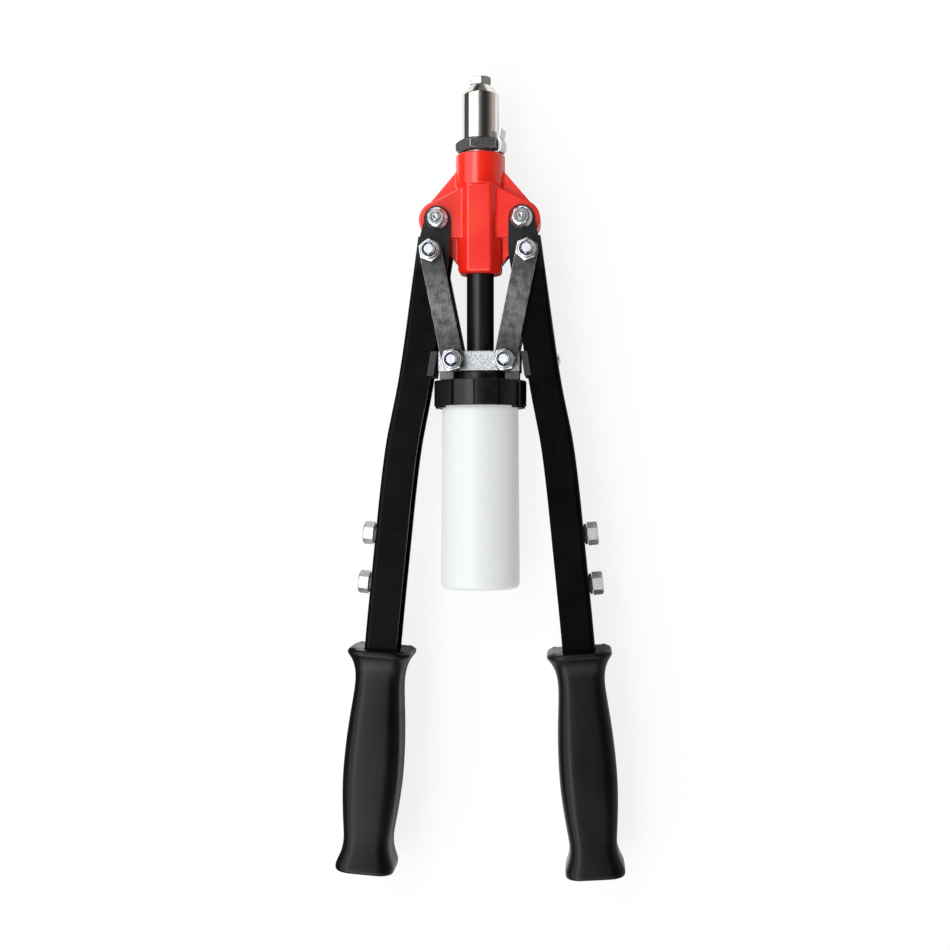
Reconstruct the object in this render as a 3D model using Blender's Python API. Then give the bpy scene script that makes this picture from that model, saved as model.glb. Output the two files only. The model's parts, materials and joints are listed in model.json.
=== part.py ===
"""Two-handed blind riveter with a collecting bottle, modelled piece by piece.

The tool lies on its back with its arms closed. +Y runs to the nose, +X to the right arm and +Z up,
square to the plane that the arms open in. All sizes are in metres. Heights along the tool are
counted from the line through the two main pivots, forward is plus.
"""
import math

import bmesh
import bpy
from mathutils import Matrix, Vector

# Clearance kept between pieces that touch or turn on each other
GAP = 0.0003

# How far cutters run past what they cut, half their length where they go through the whole
# tool, and how far joined forms run into each other
CUT_OVERRUN = 0.005
CUT_REACH = 0.03
FORM_OVERLAP = 0.001

# Linkage: main pivots, arm pins, link pins on the crosshead
MAIN_PIVOT_X = 0.0271
ARM_PIN_REACH = 0.0219
ARM_PIN_LEAN = math.radians(9.7)
LINK_LENGTH = 0.0711
CROSS_PIN_X = 0.0166
ARM_OPENING = math.radians(50)

# Painted head casting
BARREL_REAR = -0.0355
BARREL_HALF_WIDTH = 0.01415
BARREL_FACE_HALF_WIDTH = 0.00735
BARREL_HALF_DEPTH = 0.0141
BARREL_SIDE_HALF_DEPTH = 0.008
BARREL_LIP_BEVEL = 0.0022
COLLAR_RADIUS = 0.01595
COLLAR_REAR = 0.0216
COLLAR_FRONT = 0.0429
COLLAR_BEVEL = 0.0008
CASTING_BEVEL = 0.0006
EAR_RADIUS = 0.012
EAR_HALF_DEPTH = 0.010
EAR_REAR = -0.0117
EAR_SHOULDER_Y = 0.0198
WEB_HALF_DEPTH = 0.005
WEB_TOP_Y = 0.0312
WEB_LOW_OUTER = (0.0245, -0.0153)
WEB_LOW_MIDDLE = (0.021, -0.0203)
WEB_LOW_INNER_Y = -0.0288

# Sleeve, lock nut, lock washer and nosepiece
SLEEVE_RADIUS = 0.012
SLEEVE_BORE_RADIUS = 0.0085
SLEEVE_CONE_REAR = 0.0816
SLEEVE_FRONT = 0.088
SLEEVE_TIP_RADIUS = 0.007
SLEEVE_TIP_BEVEL = 0.0004
SLEEVE_CAVITY_FRONT = 0.0786
SLEEVE_THREAD_RADIUS = 0.0107
SLEEVE_THREAD_DEPTH = 0.0146
LOCK_WASHER_THICKNESS = 0.0008
LOCK_WASHER_RADIUS = 0.0126
LOCK_TAB_WIDTH = 0.0085
LOCK_TAB_THICKNESS = 0.0012
LOCK_TAB_FRONT = 0.0588
LOCK_TAB_CORNER = 0.0035
LOCK_NUT_FLATS = 0.028
LOCK_NUT_HEIGHT = 0.0077
LOCK_NUT_TURN = math.radians(12)
NOSE_FLATS = 0.013
NOSE_HEX_HEIGHT = 0.0051
NOSE_THREAD_RADIUS = 0.004
NOSE_THREAD_LENGTH = 0.010
NOSE_HOLE_RADIUS = 0.0022

# Crosshead and the tube that pulls the jaws
CROSSHEAD_HALF_WIDTH = 0.0264
CROSSHEAD_HEIGHT = 0.013
CROSSHEAD_HALF_DEPTH = 0.0131
CROSSHEAD_BEVEL = 0.0009
CROSSHEAD_LEG_INNER = 0.0166
CROSSHEAD_LEG_OUTER = 0.0255
CROSSHEAD_LEG_HEIGHT = 0.0055
CROSSHEAD_LEG_HALF_DEPTH = 0.0098
DRAW_TUBE_RADIUS = 0.0088
DRAW_TUBE_BORE_RADIUS = 0.0036
DRAW_TUBE_CLEARANCE = 0.0005
TUBE_END_BEVEL = 0.0005
TUBE_SPIGOT_RADIUS = 0.0061
TUBE_SPIGOT_LENGTH = 0.010
TUBE_TAIL_BEYOND_NUT = 0.001

# Jaw housing and what works inside it
HOUSING_RADIUS = 0.0077
HOUSING_BORE_RADIUS = 0.0064
HOUSING_MOUTH_RADIUS = 0.0036
HOUSING_CONE_LENGTH = 0.0135
HOUSING_MOUTH_LENGTH = 0.001
HOUSING_NOSE_BEVEL = 0.0018
JAW_TIP_BEYOND_HOUSING = 0.0005
JAW_STROKE_CLEARANCE = 0.0004
JAW_LENGTH = 0.0125
JAW_BORE_RADIUS = 0.0013
JAW_SPLIT = 0.0006
JAW_ARC_STEPS = 8
PUSHER_LENGTH = 0.006
PUSHER_BEVEL = 0.0012
SPRING_WIRE_RADIUS = 0.0005
SPRING_MEAN_RADIUS = 0.0052
SPRING_TURNS = 5

# Pressed steel arms
ARM_SHEET = 0.0028
ARM_INNER_HALF_DEPTH = 0.0103
ARM_FORK_RADIUS = 0.0083
ARM_OUTER_BEND = 0.0032
ARM_WEB_FRONT = (0.0394, -0.0113)
ARM_KNEE = (0.0515, -0.1003)
ARM_ELBOW = (0.0619, -0.1503)
ARM_WRIST = (0.0751, -0.2823)
ARM_TAIL_SHORT_OF_GRIP = 0.018
ARM_TAIL_LEAN = math.radians(4.2)
ARM_FORK_WIDTH = 0.0213
ARM_KNEE_WIDTH = 0.0203
ARM_TAIL_WIDTH = 0.0209
ARM_BLEND = 0.30
ARM_THROAT_DROP = 0.002

# Rubber stop pads
PAD_AHEAD_OF_PINS = 0.006
PAD_HEIGHT = 0.0155
PAD_HALF_DEPTH = 0.0100
PAD_BEVEL = 0.0012
PAD_SCREW_DROP = 0.0045
PAD_SCREW_RADIUS = 0.0018
PAD_SCREW_LENGTH = 0.009
PAD_SCREW_HEAD_RADIUS = 0.0036
PAD_SCREW_HEAD_HEIGHT = 0.0016
PAD_SCREW_CROWN_RADIUS = 0.0022

# Links, pins and their nuts
LINK_WIDTH = 0.0143
LINK_THICKNESS = 0.004
LINK_BEVEL = 0.0005
PIN_RADIUS = 0.004
PIN_HEAD_FLATS = 0.013
PIN_HEAD_HEIGHT = 0.0053
PIN_END_BEYOND_NUT = 0.0022
PIN_NUT_FLATS = 0.013
PIN_NUT_HEX_HEIGHT = 0.0056
PIN_NUT_COLLAR_HEIGHT = 0.0024
PIN_NUT_COLLAR_RADIUS = 0.0056
SPACER_RADIUS = 0.0055
SHOULDER_THREAD_RADIUS = 0.003
FLANGE_NUT_RADIUS = 0.0071
FLANGE_NUT_FLANGE_HEIGHT = 0.0013
FLANGE_NUT_FLATS = 0.010
FLANGE_NUT_CONE_HEIGHT = 0.0013
FLANGE_NUT_HEIGHT = 0.0065
THREAD_BEVEL = 0.0006

# Grips
GRIP_FRONT = -0.2769
GRIP_FLANGE_WIDTH = 0.042
GRIP_FLANGE_DEPTH = 0.046
GRIP_FLANGE_THICKNESS = 0.0028
GRIP_FLANGE_BEVEL = 0.001
GRIP_NECK_FILLET = 0.0049
GRIP_NECK_WIDTH = 0.0298
GRIP_NECK_DEPTH = 0.0345
GRIP_NECK_AT = 0.020
GRIP_BELLY_WIDTH = 0.0374
GRIP_BELLY_DEPTH = 0.038
GRIP_BELLY_AT = 0.078
GRIP_WAIST_WIDTH = 0.0302
GRIP_WAIST_DEPTH = 0.0340
GRIP_WAIST_FROM_END = 0.0195
GRIP_END_WIDTH = 0.0385
GRIP_END_DEPTH = 0.038
GRIP_FLARE_FROM_END = 0.006
GRIP_LENGTH = 0.1443
GRIP_END_CORNER = 0.0025

# Spare nosepieces on the arms
SPARE_AT = (-0.2025, -0.2345)
SPARE_HOLE_RADII = (0.0012, 0.0016, 0.0020, 0.0032)
SPARE_HEX_HEIGHT = 0.0067
SPARE_SHANK_LENGTH = 0.007
SOCKET_FLANGE_RADIUS = 0.0066
SOCKET_FLANGE_HEIGHT = 0.002
SOCKET_BARREL_RADIUS = 0.0056
SOCKET_BARREL_LENGTH = 0.0085

# Bottle, its cap and what holds the cap on the tube
CAP_RADIUS = 0.0299
CAP_GROOVE_DEPTH = 0.0013
CAP_GROOVE_WIDTH = 0.0033
CAP_LANDS = 12
CAP_FIRST_LAND = math.radians(14)
CAP_HEIGHT = 0.0165
CAP_TOP_THICKNESS = 0.003
CAP_BOSS_CLEARANCE = 0.0004
CAP_NUT_FLATS = 0.024
CAP_NUT_HEIGHT = 0.005
SEAL_INNER_RADIUS = 0.0198
SEAL_THICKNESS = 0.002
BOTTLE_NECK_RADIUS = 0.0232
BOTTLE_BEAD_HEIGHT = 0.0009
BOTTLE_BEAD_DROPS = (0.003, 0.0075)
BOTTLE_THREAD_CLEARANCE = 0.0004
BOTTLE_TOP_RADIUS = 0.0247
BOTTLE_BASE_RADIUS = 0.0256
BOTTLE_LENGTH_BELOW_CAP = 0.1178
BOTTLE_SHOULDER = 0.0025
BOTTLE_BASE_CORNER = 0.004
BOTTLE_WALL = 0.0016
BOTTLE_DISH = 0.0012
BOTTLE_SLIDE_PER_TURN = 0.004

# Turned-off corners of every hexagon
HEX_CHAMFER_SHARE = 0.95
HEX_CHAMFER_ANGLE = math.radians(30)

# Facets around full circles
FINE = 32
MEDIUM = 22
COARSE = 14

# Materials: colour, roughness, metallic
PAINT_RED = ("paint_red", (0.86, 0.05, 0.03), 0.35, 0.0)
PAINT_BLACK = ("paint_black", (0.02, 0.02, 0.022), 0.35, 0.0)
BLACK_OXIDE = ("black_oxide", (0.06, 0.06, 0.06), 0.5, 0.8)
POLISHED_STEEL = ("polished_steel", (0.72, 0.70, 0.67), 0.15, 1.0)
BARE_STEEL = ("bare_steel", (0.30, 0.30, 0.30), 0.45, 0.9)
ZINC_PLATE = ("zinc_plate", (0.75, 0.77, 0.78), 0.3, 1.0)
CAST_ZINC = ("cast_zinc", (0.70, 0.72, 0.73), 0.45, 0.9)
BLACK_PLASTIC = ("black_plastic", (0.03, 0.03, 0.032), 0.45, 0.0)
GRIP_PLASTIC = ("grip_plastic", (0.025, 0.025, 0.027), 0.5, 0.0)
WHITE_PLASTIC = ("white_plastic", (0.88, 0.90, 0.90), 0.4, 0.0)
RUBBER = ("rubber", (0.04, 0.04, 0.04), 0.75, 0.0)
SPRING_STEEL = ("spring_steel", (0.5, 0.5, 0.5), 0.3, 1.0)

# Worked out from the sizes above
ARM_OUTER_HALF_DEPTH = ARM_INNER_HALF_DEPTH + ARM_SHEET
LINK_INNER_Z = ARM_OUTER_HALF_DEPTH + GAP
LINK_OUTER_Z = LINK_INNER_Z + LINK_THICKNESS
PIN_HOLE_RADIUS = PIN_RADIUS + GAP


def arm_pin_place(opening):
    """Arm pin (x, y) on the right side, with the arms open by this angle."""
    lean = ARM_PIN_LEAN + opening
    return Vector((MAIN_PIVOT_X + ARM_PIN_REACH * math.sin(lean), -ARM_PIN_REACH * math.cos(lean)))


def cross_pin_height(opening):
    pin = arm_pin_place(opening)
    return pin.y - math.sqrt(LINK_LENGTH ** 2 - (pin.x - CROSS_PIN_X) ** 2)


def link_lean(opening):
    """Angle of the link from the tool's axis, outward at the front end."""
    return math.asin((arm_pin_place(opening).x - CROSS_PIN_X) / LINK_LENGTH)


ARM_PIN = arm_pin_place(0)
CROSS_PIN_Y = cross_pin_height(0)
CROSSHEAD_TRAVEL = cross_pin_height(ARM_OPENING) - CROSS_PIN_Y
LINK_SWING = link_lean(ARM_OPENING) - link_lean(0) + ARM_OPENING
CROSSHEAD_REAR = CROSS_PIN_Y - CROSSHEAD_HEIGHT / 2
CAP_BOSS_FRONT = CROSSHEAD_REAR - GAP
CAP_FRONT = CROSSHEAD_REAR - CROSSHEAD_LEG_HEIGHT - GAP
CAP_REAR = CAP_FRONT - CAP_HEIGHT
CAP_SEAT = CAP_FRONT - CAP_TOP_THICKNESS
CAP_INNER_RADIUS = BOTTLE_NECK_RADIUS + BOTTLE_BEAD_HEIGHT + BOTTLE_THREAD_CLEARANCE
TUBE_HOLE_RADIUS = DRAW_TUBE_RADIUS + GAP
TUBE_REAR = CAP_SEAT - GAP - CAP_NUT_HEIGHT - TUBE_TAIL_BEYOND_NUT
NOSE_REAR = SLEEVE_FRONT + GAP - NOSE_THREAD_LENGTH
JAW_FRONT = NOSE_REAR - JAW_STROKE_CLEARANCE - CROSSHEAD_TRAVEL
HOUSING_FRONT = JAW_FRONT - JAW_TIP_BEYOND_HOUSING
SLEEVE_REAR = COLLAR_FRONT - SLEEVE_THREAD_DEPTH
TUBE_FRONT = SLEEVE_REAR - CROSSHEAD_TRAVEL - DRAW_TUBE_CLEARANCE
HOUSING_REAR = TUBE_FRONT + GAP
JAW_REAR = JAW_FRONT - JAW_LENGTH
WASHER_REAR = COLLAR_FRONT + GAP
LOCK_NUT_REAR = WASHER_REAR + LOCK_WASHER_THICKNESS + GAP
BOTTLE_RIM = CAP_SEAT - SEAL_THICKNESS - 2 * GAP
BOTTLE_BASE = CAP_REAR - BOTTLE_LENGTH_BELOW_CAP
PAD_FRONT = CROSS_PIN_Y + PAD_AHEAD_OF_PINS
ARM_TAIL_LENGTH = GRIP_LENGTH - ARM_TAIL_SHORT_OF_GRIP - (GRIP_FRONT - ARM_WRIST[1]) / math.cos(ARM_TAIL_LEAN)


def empty_scene():
    for item in list(bpy.data.objects):
        bpy.data.objects.remove(item, do_unlink=True)


def material(recipe):
    name, colour, roughness, metallic = recipe
    if name in bpy.data.materials:
        return bpy.data.materials[name]
    made = bpy.data.materials.new(name)
    made.use_nodes = True
    made.diffuse_color = (*colour, 1.0)
    shader = made.node_tree.nodes["Principled BSDF"]
    shader.inputs["Base Color"].default_value = (*colour, 1.0)
    shader.inputs["Roughness"].default_value = roughness
    shader.inputs["Metallic"].default_value = metallic
    return made


def frame_empty(name, place, parent=None):
    """Empty that carries a body, standing on that body's joint axis."""
    empty = bpy.data.objects.new(name, None)
    bpy.context.scene.collection.objects.link(empty)
    empty.empty_display_size = 0.01
    set_place(empty, place, parent)
    return empty


def world_place(item):
    place = Vector((0, 0, 0))
    while item is not None:
        place += item.location
        item = item.parent
    return place


def set_place(item, place, parent):
    item.parent = parent
    offset = world_place(parent) if parent else Vector((0, 0, 0))
    item.location = Vector(place) - offset


def finish_mesh(bm, name, recipe, parent, place=(0, 0, 0), rotation=(0, 0, 0)):
    bmesh.ops.remove_doubles(bm, verts=bm.verts, dist=1e-7)
    bmesh.ops.recalc_face_normals(bm, faces=bm.faces)
    bmesh.ops.triangulate(bm, faces=[face for face in bm.faces if len(face.verts) > 4])
    mesh = bpy.data.meshes.new(name)
    bm.to_mesh(mesh)
    bm.free()
    mesh.materials.append(material(recipe))
    mesh.shade_smooth()
    mesh.set_sharp_from_angle(angle=math.radians(32))
    piece = bpy.data.objects.new(name, mesh)
    bpy.context.scene.collection.objects.link(piece)
    piece.rotation_euler = rotation
    set_place(piece, place, parent)
    return piece


# Local +Z of a turned or extruded piece pointed along the tool
ALONG_TOOL = (-math.pi / 2, 0, 0)


def turned(name, profile, recipe, parent, place=(0, 0, 0), rotation=(0, 0, 0), facets=MEDIUM):
    """Closed profile of (radius, height) points spun around local Z."""
    bm = bmesh.new()
    ring = [bm.verts.new((radius, 0, height)) for radius, height in profile]
    edges = [bm.edges.new((ring[i], ring[(i + 1) % len(ring)])) for i in range(len(ring))]
    bmesh.ops.spin(bm, geom=ring + edges, cent=(0, 0, 0), axis=(0, 0, 1),
                   angle=2 * math.pi, steps=facets, use_merge=True)
    bmesh.ops.remove_doubles(bm, verts=bm.verts, dist=1e-6)
    loose = [edge for edge in bm.edges if not edge.link_faces]
    bmesh.ops.delete(bm, geom=loose, context="EDGES")
    return finish_mesh(bm, name, recipe, parent, place, rotation)


def prism(name, outline, low, high, recipe, parent, place=(0, 0, 0), rotation=(0, 0, 0),
          bevel=0.0, bevel_steps=1, pick=None):
    """Outline of (x, y) points extruded from low to high, with the picked edges rounded."""
    bm = bmesh.new()
    face = bm.faces.new([bm.verts.new((x, y, low)) for x, y in outline])
    risen = bmesh.ops.extrude_face_region(bm, geom=[face])["geom"]
    top = [item for item in risen if isinstance(item, bmesh.types.BMVert)]
    bmesh.ops.translate(bm, verts=top, vec=(0, 0, high - low))
    bmesh.ops.recalc_face_normals(bm, faces=bm.faces)
    if bevel:
        chosen = [edge for edge in bm.edges if pick is None or pick(edge)]
        bmesh.ops.bevel(bm, geom=chosen, offset=bevel, offset_type="OFFSET", segments=bevel_steps,
                        profile=0.5, affect="EDGES", clamp_overlap=True)
    return finish_mesh(bm, name, recipe, parent, place, rotation)


def rod(name, radius, low, high, recipe, parent, place=(0, 0, 0), rotation=(0, 0, 0), facets=COARSE,
        end_bevel=0.0):
    profile = [(0, low), (radius - end_bevel, low), (radius, low + end_bevel),
               (radius, high - end_bevel), (radius - end_bevel, high), (0, high)]
    return turned(name, profile, recipe, parent, place, rotation, facets)


def lofted(name, rings, recipe, parent, place=(0, 0, 0), rotation=(0, 0, 0), closed=False):
    """Skin over rings of equally many points: capped at both ends, or closed back on itself."""
    bm = bmesh.new()
    rows = [[bm.verts.new(point) for point in ring] for ring in rings]
    pairs = list(zip(rows, rows[1:]))
    if closed:
        pairs.append((rows[-1], rows[0]))
    for first, second in pairs:
        for i in range(len(first)):
            j = (i + 1) % len(first)
            bm.faces.new((first[i], first[j], second[j], second[i]))
    if not closed:
        bm.faces.new(rows[0])
        bm.faces.new(rows[-1])
    return finish_mesh(bm, name, recipe, parent, place, rotation)


def round_ring(radius, height, turn=0.0, per_side=2):
    count = 6 * per_side
    angles = [turn + 2 * math.pi * i / count for i in range(count)]
    return [(radius * math.cos(angle), radius * math.sin(angle), height) for angle in angles]


def hex_ring(flats, height, turn=0.0, per_side=2, corner_drop=0):
    """Hexagon's outline; with a corner drop of 1 or -1 its corners fall away as a nut's chamfer cuts them."""
    apothem = flats / 2
    points = []
    for i in range(6 * per_side):
        angle = math.pi / 3 * i / per_side
        reach = apothem / math.cos(angle % (math.pi / 3) - math.pi / 6)
        drop = (reach - apothem * HEX_CHAMFER_SHARE) * math.tan(HEX_CHAMFER_ANGLE)
        points.append((reach * math.cos(angle + turn), reach * math.sin(angle + turn),
                       height - corner_drop * drop))
    return points


def chamfered_end(flats, height, turn=0.0, per_side=2):
    """The two rings of a hexagon's chamfered end, corners first and then the round flat."""
    return [hex_ring(flats, height, turn, per_side, 1),
            round_ring(flats / 2 * HEX_CHAMFER_SHARE, height, turn, per_side)]


def arc(centre, radius, start, stop, steps):
    """Points of an arc, both ends included; the angles are in radians."""
    return [(centre[0] + radius * math.cos(start + (stop - start) * i / steps),
             centre[1] + radius * math.sin(start + (stop - start) * i / steps))
            for i in range(steps + 1)]


def boolean(target, tool, operation):
    """Leave the tool in place as a hidden guide and join it to the target by a modifier."""
    modifier = target.modifiers.new(tool.name, "BOOLEAN")
    modifier.operation = operation
    modifier.solver = "EXACT"
    modifier.object = tool
    tool.hide_render = True
    tool.display_type = "WIRE"


def cut(target, tool):
    boolean(target, tool, "DIFFERENCE")


def join(target, tool):
    boolean(target, tool, "UNION")


def mirrored(outline, side):
    return [(side * x, y) for x, y in outline]


def head_casting(head):
    """Octagonal barrel, round collar, and a web with a thicker ear to each main pivot."""
    face, side = BARREL_FACE_HALF_WIDTH, BARREL_HALF_WIDTH
    deep, shallow = BARREL_HALF_DEPTH, BARREL_SIDE_HALF_DEPTH
    octagon = [(face, deep), (side, shallow), (side, -shallow), (face, -deep),
               (-face, -deep), (-side, -shallow), (-side, shallow), (-face, deep)]
    outline = [(x, -z) for x, z in octagon]
    casting = prism("head_casting", outline, BARREL_REAR, COLLAR_REAR + GAP, PAINT_RED, head,
                    rotation=ALONG_TOOL, bevel=BARREL_LIP_BEVEL, bevel_steps=2,
                    pick=lambda edge: all(v.co.z < BARREL_REAR + GAP for v in edge.verts))
    collar = [(0, COLLAR_REAR), (COLLAR_RADIUS - COLLAR_BEVEL, COLLAR_REAR),
              (COLLAR_RADIUS, COLLAR_REAR + COLLAR_BEVEL), (COLLAR_RADIUS, COLLAR_FRONT - COLLAR_BEVEL),
              (COLLAR_RADIUS - COLLAR_BEVEL, COLLAR_FRONT), (0, COLLAR_FRONT)]
    join(casting, turned("collar_form", collar, PAINT_RED, head, rotation=ALONG_TOOL, facets=FINE))
    join(casting, prism("web_form", web_outline(), -WEB_HALF_DEPTH, WEB_HALF_DEPTH, PAINT_RED, head,
                        bevel=CASTING_BEVEL))
    for side_name, sign in (("left", -1), ("right", 1)):
        ear = prism("ear_form_" + side_name, mirrored(ear_outline(), sign), -EAR_HALF_DEPTH,
                    EAR_HALF_DEPTH, PAINT_RED, head, bevel=CASTING_BEVEL)
        join(casting, ear)
        hole = rod("pivot_hole_" + side_name, PIN_HOLE_RADIUS, -CUT_REACH, CUT_REACH, PAINT_RED, head,
                   (sign * MAIN_PIVOT_X, 0, 0))
        cut(casting, hole)
    step = SLEEVE_REAR - GAP
    low = BARREL_REAR - CUT_OVERRUN
    high = COLLAR_FRONT + CUT_OVERRUN
    wide = SLEEVE_THREAD_RADIUS + GAP
    bore = [(0, low), (TUBE_HOLE_RADIUS, low), (TUBE_HOLE_RADIUS, step), (wide, step), (wide, high),
            (0, high)]
    cut(casting, turned("head_bore", bore, PAINT_RED, head, rotation=ALONG_TOOL, facets=FINE))
    return casting


def web_outline():
    """Middle web seen from above, both wings and the part hidden in the barrel."""
    start = math.atan2(WEB_TOP_Y, COLLAR_RADIUS - MAIN_PIVOT_X)
    reach = math.hypot(WEB_TOP_Y, COLLAR_RADIUS - MAIN_PIVOT_X)
    rim = EAR_RADIUS - GAP
    tangent = start - math.acos(rim / reach)
    right = [(COLLAR_RADIUS - FORM_OVERLAP, WEB_TOP_Y + FORM_OVERLAP)]
    right += arc((MAIN_PIVOT_X, 0), rim, tangent, math.radians(-80), 9)
    right += [WEB_LOW_OUTER, WEB_LOW_MIDDLE, (BARREL_HALF_WIDTH, WEB_LOW_INNER_Y),
              (BARREL_FACE_HALF_WIDTH, WEB_LOW_INNER_Y)]
    return right + [(-x, y) for x, y in reversed(right)]


def ear_outline():
    """Thicker pad around the right main pivot."""
    inner = (BARREL_HALF_WIDTH + BARREL_FACE_HALF_WIDTH) / 2
    points = [(inner, EAR_REAR), (inner, EAR_SHOULDER_Y), (BARREL_HALF_WIDTH, EAR_SHOULDER_Y)]
    points += arc((MAIN_PIVOT_X, 0), EAR_RADIUS, math.radians(78), math.radians(-77), 10)
    return points


def front_sleeve(head):
    bore = SLEEVE_BORE_RADIUS
    throat = NOSE_THREAD_RADIUS + GAP
    shoulder = LOCK_NUT_REAR + LOCK_NUT_HEIGHT + GAP
    tip_bevel = SLEEVE_TIP_BEVEL
    profile = [(bore, SLEEVE_REAR), (SLEEVE_THREAD_RADIUS, SLEEVE_REAR), (SLEEVE_THREAD_RADIUS, shoulder),
               (SLEEVE_RADIUS, shoulder), (SLEEVE_RADIUS, SLEEVE_CONE_REAR),
               (SLEEVE_TIP_RADIUS + tip_bevel, SLEEVE_FRONT - tip_bevel), (SLEEVE_TIP_RADIUS, SLEEVE_FRONT),
               (throat, SLEEVE_FRONT), (throat, SLEEVE_CAVITY_FRONT), (bore, SLEEVE_CAVITY_FRONT)]
    return turned("front_sleeve", profile, POLISHED_STEEL, head, rotation=ALONG_TOOL, facets=FINE)


def lock_pieces(head):
    """Lock washer with one tab turned up against the lock nut's right flat."""
    bore = SLEEVE_THREAD_RADIUS + GAP
    front = WASHER_REAR + LOCK_WASHER_THICKNESS
    ring = [(bore, WASHER_REAR), (LOCK_WASHER_RADIUS, WASHER_REAR), (LOCK_WASHER_RADIUS, front),
            (bore, front)]
    washer = turned("lock_washer", ring, ZINC_PLATE, head, rotation=ALONG_TOOL)
    flat = LOCK_NUT_FLATS / 2 + GAP
    outer = flat + LOCK_TAB_THICKNESS
    half = LOCK_TAB_WIDTH / 2
    root = bore + FORM_OVERLAP
    tongue = [(root, -half), (outer, -half), (outer, half), (root, half)]
    tab = [(flat, -half), (outer, -half), (outer, half), (flat, half)]
    turn = (-math.pi / 2, -LOCK_NUT_TURN, 0)
    join(washer, prism("lock_tongue_form", tongue, WASHER_REAR, front, ZINC_PLATE, head, rotation=turn))
    join(washer, prism("lock_tab_form", tab, WASHER_REAR, LOCK_TAB_FRONT, ZINC_PLATE, head, rotation=turn,
                       bevel=LOCK_TAB_CORNER, bevel_steps=3,
                       pick=lambda edge: all(v.co.z > LOCK_TAB_FRONT - GAP for v in edge.verts)
                       and abs(edge.verts[0].co.y - edge.verts[1].co.y) < GAP))
    front = LOCK_NUT_REAR + LOCK_NUT_HEIGHT
    hex_turn = math.radians(30)
    rings = [round_ring(bore, LOCK_NUT_REAR, hex_turn, 4),
             hex_ring(LOCK_NUT_FLATS, LOCK_NUT_REAR, hex_turn, 4),
             *chamfered_end(LOCK_NUT_FLATS, front, hex_turn, 4), round_ring(bore, front, hex_turn, 4)]
    lofted("lock_nut", rings, BLACK_OXIDE, head, rotation=turn, closed=True)


def nosepiece(name, hex_height, shank_length, hole_radius, parent, place, rotation):
    """Hexagon with its front face at +height, threaded shank behind it and a mandrel hole through."""
    shank = NOSE_THREAD_RADIUS
    rings = [round_ring(hole_radius, -shank_length), round_ring(shank - THREAD_BEVEL, -shank_length),
             round_ring(shank, THREAD_BEVEL - shank_length), round_ring(shank, 0), hex_ring(NOSE_FLATS, 0),
             *chamfered_end(NOSE_FLATS, hex_height), round_ring(hole_radius, hex_height)]
    return lofted(name, rings, ZINC_PLATE, parent, place, rotation, closed=True)


def hex_bolt(name, flats, head_height, head_top, shank, parent, place, turn=0.0):
    """Bolt with its head below head_top and a shank given as (radius, height) steps above it."""
    low = head_top - head_height
    rings = [round_ring(flats / 2 * HEX_CHAMFER_SHARE, low, turn), hex_ring(flats, low, turn, 2, -1),
             hex_ring(flats, head_top, turn)]
    rings += [round_ring(radius, height, turn) for radius, height in shank]
    return lofted(name, rings, ZINC_PLATE, parent, place)


def main_pivots(head):
    """Shoulder bolt through each ear and fork, with a flange nut on top."""
    head_top = -ARM_OUTER_HALF_DEPTH - GAP
    shoulder = ARM_OUTER_HALF_DEPTH
    seat = ARM_OUTER_HALF_DEPTH + GAP
    flange_top = seat + FLANGE_NUT_FLANGE_HEIGHT
    nut_top = seat + FLANGE_NUT_HEIGHT
    end = nut_top + PIN_END_BEYOND_NUT
    thread = SHOULDER_THREAD_RADIUS
    bore = thread + GAP
    for side_name, sign in (("left", -1), ("right", 1)):
        place = (sign * MAIN_PIVOT_X, 0, 0)
        shank = [(PIN_RADIUS, head_top), (PIN_RADIUS, shoulder), (thread, shoulder),
                 (thread, end - THREAD_BEVEL), (thread - THREAD_BEVEL, end)]
        hex_bolt("pivot_bolt_" + side_name, PIN_HEAD_FLATS, PIN_HEAD_HEIGHT, head_top, shank, head, place)
        rings = [round_ring(bore, seat), round_ring(FLANGE_NUT_RADIUS, seat),
                 round_ring(FLANGE_NUT_RADIUS, flange_top),
                 hex_ring(FLANGE_NUT_FLATS, flange_top + FLANGE_NUT_CONE_HEIGHT),
                 *chamfered_end(FLANGE_NUT_FLATS, nut_top), round_ring(bore, nut_top)]
        lofted("flange_nut_" + side_name, rings, ZINC_PLATE, head, place, closed=True)


def link_pin(name, parent, place, nut_turn):
    """Hex bolt from the back through both links, with a collared lock nut in front."""
    head_top = -LINK_OUTER_Z - GAP
    seat = LINK_OUTER_Z + GAP
    hex_top = seat + PIN_NUT_HEX_HEIGHT
    nut_top = hex_top + PIN_NUT_COLLAR_HEIGHT
    end = nut_top + PIN_END_BEYOND_NUT
    bore = PIN_HOLE_RADIUS
    collar = PIN_NUT_COLLAR_RADIUS
    shank = [(PIN_RADIUS, head_top), (PIN_RADIUS, end - THREAD_BEVEL), (PIN_RADIUS - THREAD_BEVEL, end)]
    hex_bolt("bolt_" + name, PIN_HEAD_FLATS, PIN_HEAD_HEIGHT, head_top, shank, parent, place, nut_turn)
    rings = [round_ring(bore, seat, nut_turn), hex_ring(PIN_NUT_FLATS, seat, nut_turn),
             *chamfered_end(PIN_NUT_FLATS, hex_top, nut_turn), round_ring(collar, hex_top, nut_turn),
             round_ring(collar, nut_top - THREAD_BEVEL, nut_turn),
             round_ring(collar - THREAD_BEVEL, nut_top, nut_turn), round_ring(bore, nut_top, nut_turn)]
    lofted("nut_" + name, rings, ZINC_PLATE, parent, place, closed=True)


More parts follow.
